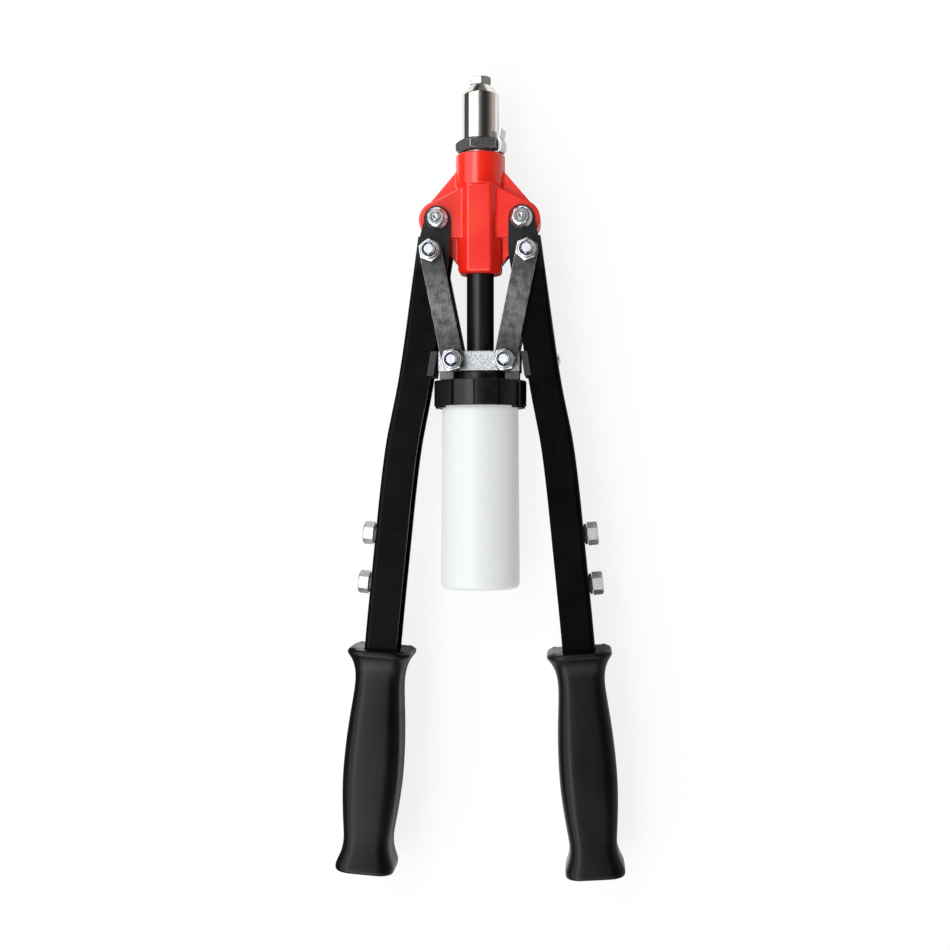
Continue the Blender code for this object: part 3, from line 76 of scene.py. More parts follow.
def middle_of(node):
    low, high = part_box(node)
    return (low + high) / 2 - ORIGIN


ORIGIN = joint_place("arm_right_swing") * Vector((0, 1, 1))
PIVOT = joint_place("arm_right_swing") - ORIGIN
ARM_PIN = joint_place("links_right_swing") - ORIGIN
CROSS_PIN = middle_of("bolt_cross_pin_right") * Vector((1, 1, 0))

# Head casting
BARREL_REAR = -0.0346
BARREL_HALF_WIDTH = 0.0139
BARREL_FACE_HALF_WIDTH = 0.00735
BARREL_HALF_DEPTH = 0.0137
BARREL_SIDE_HALF_DEPTH = 0.0070
BARREL_LIP = 0.0030
COLLAR_RADIUS = 0.01595
COLLAR_REAR = 0.0216
COLLAR_FRONT = 0.0429
COLLAR_BEVEL = 0.0010
EAR_RADIUS = 0.012
EAR_HALF_DEPTH = 0.010
EAR_REAR = -0.0117
EAR_SHOULDER = 0.0198
WEB_HALF_DEPTH = 0.005
WEB_TOP = 0.0312
WEB_LOW_OUTER = (0.0245, -0.0153)
WEB_LOW_MIDDLE = (0.021, -0.0203)
WEB_LOW_INNER = -0.0288
CASTING_GRAIN = 0.00042
CASTING_SMOOTHING = 3

# Sleeve, lock washer, lock nut and nosepiece
SLEEVE_RADIUS = 0.012
SLEEVE_BORE = 0.0085
SLEEVE_THREAD = 0.0107
SLEEVE_LIP = 0.0005
SLEEVE_CONE_REAR = 0.0816
SLEEVE_FRONT = 0.088
SLEEVE_TIP = 0.007
SLEEVE_CAVITY_FRONT = 0.0786
SLEEVE_REAR = COLLAR_FRONT - 0.0146
THREAD_BORE = SLEEVE_THREAD + GAP
WASHER_THICKNESS = 0.0008
WASHER_RADIUS = 0.0120
WASHER_REAR = COLLAR_FRONT + GAP
WASHER_FRONT = WASHER_REAR + WASHER_THICKNESS
TAB_WIDTH = 0.0085
TAB_SHEET = 0.0009
TAB_FRONT = 0.0583
TAB_WAIST = 0.0523
TAB_NECK = 0.0006
TAB_SWELL = 0.0024
TAB_LEAN = 0.0011
TAB_SLANT = 0.0010
TAB_TURN = radians(19.7)
LOCK_NUT_FLATS = 0.028
LOCK_NUT_HEIGHT = 0.0077
LOCK_NUT_REAR = WASHER_FRONT + GAP
LOCK_NUT_FRONT = LOCK_NUT_REAR + LOCK_NUT_HEIGHT
LOCK_NUT_EDGE = 0.0005
LOCK_NUT_TURN = radians(10.3)
NOSE_FLATS = 0.013
NOSE_HEX = 0.0051
NOSE_SHANK = 0.010
NOSE_THREAD = 0.004
NOSE_CHAMFER = 0.0006
NOSE_EDGE = 0.00018
NOSE_HOLE = 0.0022
NOSE_TURN = radians(-22)

# Pins, nuts and links
ARM_DEPTH = 0.0131
ARM_INNER_DEPTH = 0.0103
LINK_LOW = ARM_DEPTH + GAP
LINK_THICKNESS = 0.004
LINK_HIGH = LINK_LOW + LINK_THICKNESS
LINK_LENGTH = (ARM_PIN - CROSS_PIN).xy.length
LINK_HALF_WIDTH = 0.00715
LINK_EDGE = 0.0005
PIN_RADIUS = 0.004
PIN_HOLE = PIN_RADIUS + GAP
PIN_FLATS = 0.013
PIN_HEAD = 0.0053
PIN_BEYOND_NUT = 0.0022
PIN_END_CHAMFER = 0.0012
PIN_EDGE = 0.00012
NUT_HEX = 0.0056
NUT_EDGE = 0.00015
NUT_COLLAR = 0.0024
NUT_COLLAR_RADIUS = 0.0056
NUT_COLLAR_BEND = 0.0008
NUT_COLLAR_ROUND = 0.0009
NUT_CRIMP_RADIUS = 0.0048
NUT_RING_REACH = 0.0013
PIVOT_THREAD = 0.003
PIVOT_DIMPLE = 0.0014
FLANGE_RADIUS = 0.0071
FLANGE_HEIGHT = 0.0013
FLANGE_EDGE = 0.0003
FLANGE_FLATS = 0.010
FLANGE_NUT_HEIGHT = 0.0065
THREAD_DEPTH = 0.00035
THREAD_PITCH = 0.0010
HEX_FACE = 0.95
HEX_CHAMFER = radians(30)

# Crosshead and tube
CROSSHEAD_HALF_WIDTH = 0.0264
CROSSHEAD_HEIGHT = 0.013
CROSSHEAD_HALF_DEPTH = 0.0131
CROSSHEAD_REAR = CROSS_PIN.y - CROSSHEAD_HEIGHT / 2
CROSSHEAD_BEVEL = 0.0010
LEG_INNER = 0.0166
LEG_OUTER = 0.0255
LEG_HEIGHT = 0.0055
LEG_HALF_DEPTH = 0.0098
TUBE_RADIUS = 0.0088
TUBE_BORE = 0.0036
TUBE_BEVEL = 0.0005
TUBE_HOLE = TUBE_RADIUS + GAP
SPIGOT_RADIUS = 0.0061
SPIGOT_LENGTH = 0.010

# Arms
ARM_SHEET = 0.0028
FORK_RADIUS = 0.0083
OUTER_BEND = 0.0032
INNER_BEND = 0.0009
WEB_FRONT = Vector((0.0394, -0.0113))
KNEE = Vector((0.0515, -0.1003))
ELBOW = Vector((0.0619, -0.1503))
WRIST = Vector((0.0751, -0.2823))
TAIL_LEAN = radians(4.2)
TAIL_DIRECTION = Vector((sin(TAIL_LEAN), -cos(TAIL_LEAN)))
FORK_WIDTH = 0.0213
KNEE_WIDTH = 0.0203
TAIL_WIDTH = 0.0209
ARM_BLEND = 0.30
SHEET_EDGE = 0.00040
TAIL_SHORT_OF_GRIP = 0.018

# Stop pads and their screws
PAD_FRONT = CROSS_PIN.y + 0.006
PAD_REAR = PAD_FRONT - 0.0155
PAD_HALF_DEPTH = 0.0100
PAD_BEVEL = 0.0009
PAD_LIP_DEPTH = 0.0145
PAD_LIP_WIDTH = 0.0042
SCREW_DROP = 0.0045
SCREW_RADIUS = 0.0018
SCREW_LENGTH = 0.009
SCREW_HEAD_RADIUS = 0.0036
SCREW_HEAD = 0.0016
SCREW_RIM = SCREW_HEAD * 0.35

# Spare nosepieces on the arms
SPARE_AT = (-0.2025, -0.2345)
SPARE_HOLES = {"left": (0.0012, 0.0016), "right": (0.0020, 0.0032)}
SPARE_HEX = 0.0067
SPARE_SHANK = 0.007
SOCKET_FLANGE_RADIUS = 0.0066
SOCKET_FLANGE = 0.002
SOCKET_RADIUS = 0.0056
SOCKET_LENGTH = 0.0085
SOCKET_EDGE = 0.0003

# Grips: distance from the front, width and depth; the last stations are counted from the rear end
GRIP_FRONT = -0.2769
GRIP_LENGTH = 0.1443
GRIP_FRONT_STATIONS = (
    (0.0000, 0.0390, 0.0430), (0.0005, 0.0408, 0.0448), (0.0016, 0.0419, 0.0459), (0.0029, 0.0417, 0.0457),
    (0.0041, 0.0402, 0.0442), (0.0056, 0.0378, 0.0420), (0.0088, 0.0343, 0.0388), (0.0134, 0.0313, 0.0359),
    (0.0200, 0.0298, 0.0345), (0.0290, 0.0307, 0.0350), (0.0420, 0.0334, 0.0362), (0.0580, 0.0361, 0.0374),
    (0.0780, 0.0374, 0.0380), (0.0920, 0.0366, 0.0375),
)
GRIP_END_STATIONS = (
    (0.0365, 0.0339, 0.0360), (0.0260, 0.0313, 0.0345), (0.0195, 0.0302, 0.0340), (0.0135, 0.0318, 0.0347),
    (0.0090, 0.0350, 0.0360), (0.0060, 0.0377, 0.0374), (0.0037, 0.0385, 0.0380), (0.0021, 0.0384, 0.0379),
    (0.0008, 0.0374, 0.0370), (0.0001, 0.0352, 0.0350),
)
GRIP_CORNER = 0.0103
GRIP_INSET = 0.0035
POCKET_STEP = 0.005

# Cap and bottle
CAP_RADIUS = 0.0299
CAP_GROOVE_DEPTH = 0.0018
CAP_GROOVE_WIDTH = 0.0033
CAP_LANDS = 12
CAP_FIRST_LAND = radians(14)
CAP_HEIGHT = 0.0165
CAP_TOP = 0.003
CAP_EDGE = 0.0006
CAP_LIP = 0.0005
CAP_BOSS = LEG_INNER - 0.0004
CAP_LUG_HEIGHT = 0.0011
CAP_LUG_INNER = 0.0254
CAP_LUG_OUTER = 0.0291
CAP_LUG_SPREAD = radians(34)
CAP_FRONT = CROSSHEAD_REAR - LEG_HEIGHT - GAP
CAP_REAR = CAP_FRONT - CAP_HEIGHT
CAP_SEAT = CAP_FRONT - CAP_TOP
BOTTLE_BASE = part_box("collecting_bottle")[0].y - ORIGIN.y
BOTTLE_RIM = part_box("collecting_bottle")[1].y - ORIGIN.y
BOTTLE_NECK = 0.0232
BOTTLE_BEAD = 0.0009
BOTTLE_BEAD_DROPS = (0.003, 0.0075)
BOTTLE_TOP = 0.0247
BOTTLE_BASE_RADIUS = 0.0256
BOTTLE_SHOULDER = 0.0025
BOTTLE_SIDE_TOP = CAP_REAR - GAP - BOTTLE_SHOULDER
BOTTLE_CORNER = 0.004
BOTTLE_WALL = 0.0016
BOTTLE_FOOT = 0.003
BOTTLE_DISH = 0.0012
BOTTLE_DISH_RADIUS = BOTTLE_BASE_RADIUS - BOTTLE_CORNER - BOTTLE_FOOT
BOTTLE_DISH_SLOPE = 0.004
BOTTLE_POLE = 0.0004


# Modelling moves

def deselect():
    if bpy.context.mode != "OBJECT":
        bpy.ops.object.mode_set(mode="OBJECT")
    bpy.ops.object.select_all(action="DESELECT")


def activate(piece):
    deselect()
    piece.select_set(True)
    bpy.context.view_layer.objects.active = piece


def named(name):
    piece = bpy.context.object
    piece.name = name
    piece.data.name = name
    return piece


def put(piece, place=(0, 0, 0), rotation=(0, 0, 0)):
    """Move and turn a piece, and leave its place in its mesh."""
    piece.location = place
    piece.rotation_euler = rotation
    activate(piece)
    bpy.ops.object.transform_apply(location=True, rotation=True, scale=True)
    return piece


def settle(piece, place=(0, 0, 0), rotation=(0, 0, 0)):
    """Put a piece that was made around the origin in its place on the tool."""
    return put(piece, ORIGIN + Vector(place), rotation)


def lengthwise(piece, place=(0, 0, 0)):
    return settle(piece, place, ALONG_TOOL)


def open_mesh(piece, kind="FACE"):
    activate(piece)
    bpy.ops.object.mode_set(mode="EDIT")
    bpy.ops.mesh.select_mode(type=kind)


def pick(piece, kind, test):
    """Select the points, edges or faces that pass the test; the piece is in edit mode."""
    bpy.ops.mesh.select_mode(type=kind)
    bpy.ops.mesh.select_all(action="DESELECT")
    mesh = bmesh.from_edit_mesh(piece.data)
    for item in {"VERT": mesh.verts, "EDGE": mesh.edges, "FACE": mesh.faces}[kind]:
        if test(item):
            item.select_set(True)
    bmesh.update_edit_mesh(piece.data)


def face_outward(piece):
    open_mesh(piece)
    bpy.ops.mesh.select_all(action="SELECT")
    bpy.ops.mesh.remove_doubles(threshold=1e-6)
    bpy.ops.mesh.normals_make_consistent(inside=False)
    deselect()


def mirrored(piece):
    """Bring a settled piece over to the tool's other side."""
    piece.scale.x = -1
    put(piece)
    face_outward(piece)
    return piece


def mirror_copy(piece, name):
    activate(piece)
    bpy.ops.object.duplicate(linked=False)
    return mirrored(named(name))


def apply_modifier(piece, kind, **settings):
    activate(piece)
    modifier = piece.modifiers.new(kind.lower(), kind)
    for name, value in settings.items():
        setattr(modifier, name, value)
    bpy.ops.object.modifier_apply(modifier=modifier.name)


def combine(piece, tool, operation):
    apply_modifier(piece, "BOOLEAN", operation=operation, solver="EXACT", object=tool)
    bpy.data.objects.remove(tool)
    return piece


def cut(piece, tool):
    return combine(piece, tool, "DIFFERENCE")


def join(piece, tool):
    return combine(piece, tool, "UNION")


def soften(piece, width, segments=2, angle=30):
    apply_modifier(piece, "BEVEL", width=width, segments=segments, limit_method="ANGLE",
                   angle_limit=radians(angle), use_clamp_overlap=True)


def round_off(piece, kind, test, width, segments):
    """Round the edges, or the edges of the faces, that pass the test."""
    open_mesh(piece)
    pick(piece, kind, test)
    bpy.ops.mesh.bevel(offset=width, segments=segments, affect="EDGES")
    deselect()


def turned(name, profile, sides=ROUND, closed=False, turn=0.0):
    """Circle extruded and resized through (radius, height) steps, then capped or closed to a ring."""
    radius, height = profile[0]
    deselect()
    bpy.ops.mesh.primitive_circle_add(vertices=sides, radius=radius, fill_type="NOTHING")
    piece = put(named(name), (0, 0, height), (0, 0, turn))
    open_mesh(piece, "EDGE")
    bpy.ops.mesh.select_all(action="SELECT")
    for next_radius, next_height in profile[1:]:
        bpy.ops.mesh.extrude_region_move(TRANSFORM_OT_translate={"value": (0, 0, next_height - height)})
        grown = next_radius / radius
        bpy.ops.transform.resize(value=(grown, grown, 1), center_override=(0, 0, next_height))
        radius, height = next_radius, next_height
    pick(piece, "EDGE", lambda edge: edge.is_boundary)
    if closed:
        bpy.ops.mesh.bridge_edge_loops()
    else:
        bpy.ops.mesh.edge_face_add()
        pick(piece, "EDGE", lambda edge: edge.is_boundary)
        bpy.ops.mesh.edge_face_add()
    face_outward(piece)
    return piece


def traced(name, outline, low, high):
    """Plate whose outline is drawn by extruding one point from place to place."""
    points = [Vector((x, y, 0)) for x, y in outline]
    deselect()
    bpy.ops.mesh.primitive_plane_add(size=GAP)
    piece = put(named(name), (points[0].x, points[0].y, low))
    open_mesh(piece, "VERT")
    bpy.ops.mesh.select_all(action="SELECT")
    bpy.ops.mesh.merge(type="CENTER")
    for before, after in zip(points, points[1:]):
        bpy.ops.mesh.extrude_vertices_move(TRANSFORM_OT_translate={"value": after - before})
    pick(piece, "VERT", lambda point: len(point.link_edges) < 2)
    bpy.ops.mesh.edge_face_add()
    bpy.ops.mesh.select_all(action="SELECT")
    bpy.ops.mesh.edge_face_add()
    bpy.ops.mesh.select_all(action="SELECT")
    bpy.ops.mesh.extrude_region_move(TRANSFORM_OT_translate={"value": (0, 0, high - low)})
    face_outward(piece)
    return piece


def drill(piece, radius, low, high, place=(0, 0)):
    """Hole right through a piece that reaches from low to high."""
    bit = turned("drill", [(radius, low - PAST), (radius, high + PAST)])
    return cut(piece, put(bit, (place[0], place[1], 0)))


def chamfered(radius, low, high, edge):
    """Profile of a round bar with both rims turned off."""
    return [(radius - edge, low), (radius, low + edge), (radius, high - edge), (radius - edge, high)]


def hexagon(name, flats, low, high, chamfers=(False, True), turn=0.0):
    """Hexagonal block with a corner at this turn, its corners turned off by a cone at the chosen ends."""
    corner = flats / sqrt(3)
    block = turned(name, [(corner, low), (corner, high)], 6, turn=turn + radians(30))
    wide = corner * 1.02
    face = flats / 2 * HEX_FACE
    drop = (wide - face) * tan(HEX_CHAMFER)
    profile = [(face, low), (wide, low + drop)] if chamfers[0] else [(wide, low - GAP)]
    profile += [(wide, high - drop), (face, high)] if chamfers[1] else [(wide, high + GAP)]
    return combine(block, turned("turning_tool", profile, FINE), "INTERSECT")


def arc(centre, radius, start, stop, steps, rise=None):
    """Points on a circle, or on an oval when its rise isn't its radius."""
    angles = [start + (stop - start) * i / steps for i in range(steps + 1)]
    return [(centre[0] + radius * cos(angle), centre[1] + (rise or radius) * sin(angle)) for angle in angles]


# Finishes

def shade(value):
    """Colour from its three parts, or a grey from one level."""
    return (*value, 1.0) if isinstance(value, tuple) else (value, value, value, 1.0)


class Wire:
    """Node socket that the usual operators work on: each one adds a Math node."""

    def __init__(self, net, socket):
        self.net = net
        self.socket = socket

    def __add__(self, other):
        return self.net.math("ADD", self, other)

    def __mul__(self, other):
        return self.net.math("MULTIPLY", self, other)

    __radd__ = __add__
    __rmul__ = __mul__


class Net:
    """Nodes of one finish, or of the studio's light."""

    def __init__(self, tree):
        self.tree = tree
        tree.nodes.clear()

    def node(self, kind, sockets=None, output=0, stops=None, **settings):
        made = self.tree.nodes.new(kind)
        for name, value in settings.items():
            setattr(made, name, value)
        if stops:
            ramp = made.color_ramp
            while len(ramp.elements) < len(stops):
                ramp.elements.new(1.0)
            for element, (position, value) in zip(ramp.elements, stops):
                element.position = position
                element.color = shade(value)
        for name, value in (sockets or {}).items():
            socket = made.inputs[name]
            if isinstance(value, Wire):
                self.tree.links.new(value.socket, socket)
            else:
                socket.default_value = shade(value) if socket.type == "RGBA" else value
        return Wire(self, made.outputs[output]) if made.outputs else made

    def math(self, operation, *values):
        return self.node("ShaderNodeMath", dict(enumerate(values)), operation=operation)

    def place(self, stretch=(1, 1, 1)):
        coordinates = self.node("ShaderNodeTexCoord", output="Object")
        return self.node("ShaderNodeVectorMath", {0: coordinates, 1: stretch}, operation="MULTIPLY")

    def axis(self, name, vector=None):
        return self.node("ShaderNodeSeparateXYZ", {"Vector": vector or self.place()}, output=name)

    def ray(self, kind):
        return self.node("ShaderNodeLightPath", output="Is " + kind + " Ray")

    def noise(self, scale, detail=3.0, stretch=(1, 1, 1)):
        return self.node("ShaderNodeTexNoise",
                         {"Vector": self.place(stretch), "Scale": scale, "Detail": detail})

    def spread(self, value, low, high, to_low=0.0, to_high=1.0):
        return self.node("ShaderNodeMapRange", {0: value, 1: low, 2: high, 3: to_low, 4: to_high})

    def patches(self, scale, detail, low, high, stretch=(1, 1, 1)):
        """Spots where a noise rises from the low to the high level."""
        return self.spread(self.noise(scale, detail, stretch), low, high)

    def even(self, noise, low=0.0, high=1.0):
        """The middle of a noise's range drawn out between two values."""
        return self.spread(noise, 0.3, 0.7, low, high)

    def mix(self, share, first, second):
        return self.node("ShaderNodeMix", {0: share, 6: first, 7: second}, output=2, data_type="RGBA")

    def bump(self, height, depth, strength):
        return self.node("ShaderNodeBump", {"Height": height, "Distance": depth, "Strength": strength})


def red_paint(net):
    cloud = net.noise(45)
    specks = net.patches(1300, 2, 0.70, 0.74)
    base = net.mix(net.spread(cloud, 0.35, 0.65), (0.82, 0.016, 0.006), (0.90, 0.028, 0.011))
    return {"Base Color": net.mix(specks * 0.3, base, (0.50, 0.008, 0.004)),
            "Roughness": net.even(cloud, 0.20, 0.28), "Coat Weight": 0.4, "Coat Roughness": 0.06,
            "Normal": net.bump(net.noise(700, 2), 0.00005, 0.35)}


def black_paint(net):
    """Satin black; around the pins it turns a dark grey, which is rubbed paint and a painted sheen."""
    cloud = net.noise(60, 4)
    dust = net.patches(2600, 3, 0.70, 0.74)
    rub = net.patches(260, 5, 0.60, 0.78, (1, 0.15, 1))
    pins = ORIGIN.y + ARM_PIN.y
    # Painted sheen and rubbed paint: near the pins the black is painted a lighter grey.
    rub_and_sheen_near_pins = net.spread(net.axis("Y"), pins - 0.012, pins + 0.004)
    base = net.mix(net.even(cloud), (0.0010, 0.0011, 0.0013), (0.0024, 0.0025, 0.0028))
    base = net.mix(dust * 0.2, base, 0.05)
    grey_tone = net.mix(net.noise(1500, 4), (0.010, 0.011, 0.012), (0.040, 0.042, 0.045))
    return {"Base Color": net.mix(rub_and_sheen_near_pins, base, grey_tone), "Specular IOR Level": 0.07,
            "Roughness": net.even(cloud, 0.20, 0.28) + rub * 0.08,
            "Normal": net.bump(net.noise(1100, 2), 0.00003, 0.25)}


def painted_edge_highlight(net):
    """Sheet edge painted a light grey: a painted highlight along the edge."""
    grain = net.noise(900, 4, (1, 0.3, 1))
    return {"Base Color": net.mix(net.spread(grain, 0.35, 0.6), 0.12, 0.55), "Metallic": 0.3,
            "Roughness": net.even(grain, 0.30, 0.45)}


def polished_steel(net):
    lines = net.noise(160, 4, (0.35, 30, 0.35))
    return {"Base Color": net.mix(lines, (0.70, 0.68, 0.64), (0.80, 0.78, 0.75)),
            "Metallic": 1.0, "Roughness": net.even(lines * 0.6 + net.noise(110) * 0.4, 0.08, 0.18),
            "Normal": net.bump(lines, 0.00002, 0.25)}


def black_oxide(net):
    grain = net.noise(1500, 4)
    wear = net.patches(2200, 3, 0.52, 0.68)
    return {"Base Color": net.mix(wear, (0.045, 0.045, 0.046), 0.32), "Metallic": 0.4,
            "Roughness": net.even(grain, 0.38, 0.55), "Normal": net.bump(grain, 0.00015, 0.8)}


def worn_edge(net):
    grain = net.noise(1900)
    return {"Base Color": net.mix(grain, 0.50, 0.90), "Metallic": 1.0,
            "Roughness": net.even(grain, 0.30, 0.5)}


def tube_black(net):
    drawn = net.noise(420, 3, (1, 0.04, 1))
    scratches = net.patches(520, 4, 0.62, 0.74, (1, 0.12, 1))
    base = net.mix(drawn, 0.006, (0.018, 0.0175, 0.017))
    return {"Base Color": net.mix(scratches * 0.3, base, 0.10), "Metallic": 0.35,
            "Roughness": net.even(drawn, 0.26, 0.40), "Normal": net.bump(drawn, 0.00003, 0.3)}


def bare_steel(net):
    """Mill scale rubbed to grey between the pins, with painted shade darkening it beside the nuts."""
    along = net.axis("Y")
    middle = ORIGIN.y + (ARM_PIN.y + CROSS_PIN.y) / 2
    # Painted shade: rear and front fade both ends of the link, beside the nuts, to the dark colour.
    rear = net.spread(along, middle - 0.030, middle - 0.004, 0.28, 1.0)
    front = net.spread(along, middle + 0.006, middle + 0.024, 1.0, 0.42)
    mottle = net.noise(210, 8)
    grey_tone = net.mix(net.spread(mottle, 0.36, 0.64), (0.075, 0.075, 0.077), (0.200, 0.200, 0.202))
    scuffs = net.patches(1100, 6, 0.54, 0.66, (1, 0.25, 1))
    strokes = net.patches(420, 6, 0.56, 0.64, (0.35, 1, 1))
    pits = net.patches(2400, 4, 0.56, 0.64)
    for marks, share, level in ((scuffs, 0.4, 0.34), (strokes, 0.22, 0.035), (pits, 0.45, 0.030)):
        grey_tone = net.mix(marks * share, grey_tone, level)
    return {"Base Color": net.mix(rear * front, (0.020, 0.020, 0.021), grey_tone), "Metallic": 0.75,
            "Roughness": net.even(mottle, 0.36, 0.55), "Normal": net.bump(net.noise(1500, 4), 0.00006, 0.6)}


def bright_zinc(net):
    cloud = net.noise(420)
    return {"Base Color": net.mix(cloud, (0.70, 0.74, 0.80), (0.88, 0.89, 0.91)), "Metallic": 1.0,
            "Roughness": net.even(cloud, 0.08, 0.19), "Normal": net.bump(net.noise(1600), 0.00004, 0.5)}


def bolt_end(net):
    """Cut and plated end face: paler and more matt than the turned surfaces."""
    specks = net.patches(1700, 3, 0.40, 0.62)
    return {"Base Color": net.mix(specks, (0.50, 0.56, 0.66), (0.92, 0.96, 1.0)), "Metallic": 1.0,
            "Roughness": net.even(net.noise(900), 0.42, 0.60), "Normal": net.bump(specks, 0.00008, 0.6)}


def dull_zinc(net):
    grain = net.noise(2600)
    return {"Base Color": net.mix(net.noise(500), (0.48, 0.49, 0.50), (0.72, 0.73, 0.74)), "Metallic": 1.0,
            "Roughness": net.even(grain, 0.28, 0.45), "Normal": net.bump(grain, 0.00008, 0.6)}


def grainy_zinc(net):
    """Machined bright above; the two legs at the rear are darker, a painted shade under the block."""
    grain = net.noise(1150, 4)
    step = ORIGIN.y + CROSSHEAD_REAR
    # Painted shade: below the block's rear face the legs take the darker colour.
    clear_of_leg_shade = net.spread(net.axis("Y"), step - 0.0003, step + 0.0001)
    bright = net.mix(net.spread(grain, 0.38, 0.62), (0.36, 0.39, 0.42), (0.74, 0.76, 0.78))
    painted_leg_shade = net.mix(grain, 0.09, 0.24)
    return {"Base Color": net.mix(clear_of_leg_shade, painted_leg_shade, bright), "Metallic": 1.0,
            "Roughness": net.even(grain, 0.34, 0.56), "Normal": net.bump(grain, 0.00030, 0.8)}


def cap_plastic(net):
    cloud = net.noise(160)
    return {"Base Color": net.mix(cloud, (0.005, 0.005, 0.0052), (0.011, 0.011, 0.0115)),
            "Specular IOR Level": 0.32, "Roughness": net.even(cloud, 0.24, 0.34),
            "Normal": net.bump(net.noise(1900, 2), 0.00003, 0.4)}


def grip_plastic(net):
    cloud = net.noise(35, 4)
    scuffs = net.patches(330, 5, 0.62, 0.80, (1, 0.3, 1))
    return {"Base Color": net.mix(cloud, (0.0020, 0.0023, 0.0025), (0.0042, 0.0047, 0.0050)),
            "Specular IOR Level": 0.23, "Roughness": net.even(cloud, 0.25, 0.34) + scuffs * 0.06,
            "Normal": net.bump(net.noise(1500, 2), 0.00004, 0.35)}


def white_plastic(net):
    """Milky plastic; its emission is a painted glow that brightens the bottle evenly, its shaded side too."""
    cloud = net.noise(22, 2)
    return {"Base Color": net.mix(cloud, (0.38, 0.39, 0.39), (0.40, 0.41, 0.41)),
            "Emission Color": (0.97, 1.0, 1.0), "Emission Strength": 0.405,
            "Roughness": net.even(cloud, 0.38, 0.48), "Normal": net.bump(net.noise(260, 2), 0.00006, 0.2)}


def pad_rubber(net):
    grain = net.noise(900, 4)
    return {"Base Color": net.mix(grain, (0.014, 0.014, 0.015), (0.042, 0.042, 0.044)),
            "Roughness": net.even(grain, 0.55, 0.75), "Normal": net.bump(grain, 0.0001, 0.5)}


def blue_nylon(net):
    cloud = net.noise(900, 2)
    return {"Base Color": net.mix(cloud, (0.006, 0.012, 0.085), (0.012, 0.024, 0.14)),
            "Roughness": net.even(cloud, 0.38, 0.50)}


def finish(recipe):
    """Material whose recipe returns its main shader's sockets."""
    material = bpy.data.materials.new(recipe.__name__ + "_finish")
    material.use_nodes = True
    net = Net(material.node_tree)
    shader = net.node("ShaderNodeBsdfPrincipled", recipe(net))
    net.node("ShaderNodeOutputMaterial", {"Surface": shader})
    return material


RED_PAINT = finish(red_paint)
BLACK_PAINT = finish(black_paint)
PAINTED_EDGE_HIGHLIGHT = finish(painted_edge_highlight)
POLISHED_STEEL = finish(polished_steel)
BLACK_OXIDE = finish(black_oxide)
WORN_EDGE = finish(worn_edge)
TUBE_BLACK = finish(tube_black)
BARE_STEEL = finish(bare_steel)
BRIGHT_ZINC = finish(bright_zinc)
BOLT_END = finish(bolt_end)
DULL_ZINC = finish(dull_zinc)
GRAINY_ZINC = finish(grainy_zinc)
CAP_PLASTIC = finish(cap_plastic)
GRIP_PLASTIC = finish(grip_plastic)
WHITE_PLASTIC_GLOW = finish(white_plastic)
PAD_RUBBER = finish(pad_rubber)
BLUE_NYLON = finish(blue_nylon)


def dress(piece, look, body, node=None, angle=30):
    """Give the finished piece its look and its body, and hide the node that it stands for."""
    activate(piece)
    bpy.ops.object.shade_smooth_by_angle(angle=radians(angle))
    apply_modifier(piece, "WEIGHTED_NORMAL", keep_sharp=True)
    piece.data.materials.clear()
    piece.data.materials.append(look)
    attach(piece, body)
    if node:
        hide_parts(node)
    deselect()


def mark(piece, look, test):
    """Give the faces that pass the test a second finish."""
    piece.data.materials.append(look)
    open_mesh(piece)
    pick(piece, "FACE", test)
    piece.active_material_index = len(piece.data.materials) - 1
    bpy.ops.object.material_slot_assign()
    deselect()


# Head

def web_outline():
    """Thin middle web: both wings and the part hidden in the barrel."""
    near = Vector((COLLAR_RADIUS - PIVOT.x, WEB_TOP))
    rim = EAR_RADIUS - GAP
    tangent = atan2(near.y, near.x) - acos(rim / near.length)
    right = [(COLLAR_RADIUS - PAST, WEB_TOP + PAST)] + arc(PIVOT, rim, tangent, radians(-80), 40)
    right += [WEB_LOW_OUTER, WEB_LOW_MIDDLE, (BARREL_HALF_WIDTH, WEB_LOW_INNER),
              (BARREL_FACE_HALF_WIDTH, WEB_LOW_INNER)]
    return right + [(-x, y) for x, y in reversed(right)]


def ear_outline():
    inner = (BARREL_HALF_WIDTH + BARREL_FACE_HALF_WIDTH) / 2
    outline = [(inner, EAR_REAR), (inner, EAR_SHOULDER), (BARREL_HALF_WIDTH, EAR_SHOULDER)]
    return outline + arc(PIVOT, EAR_RADIUS, radians(78), radians(-77), 40)


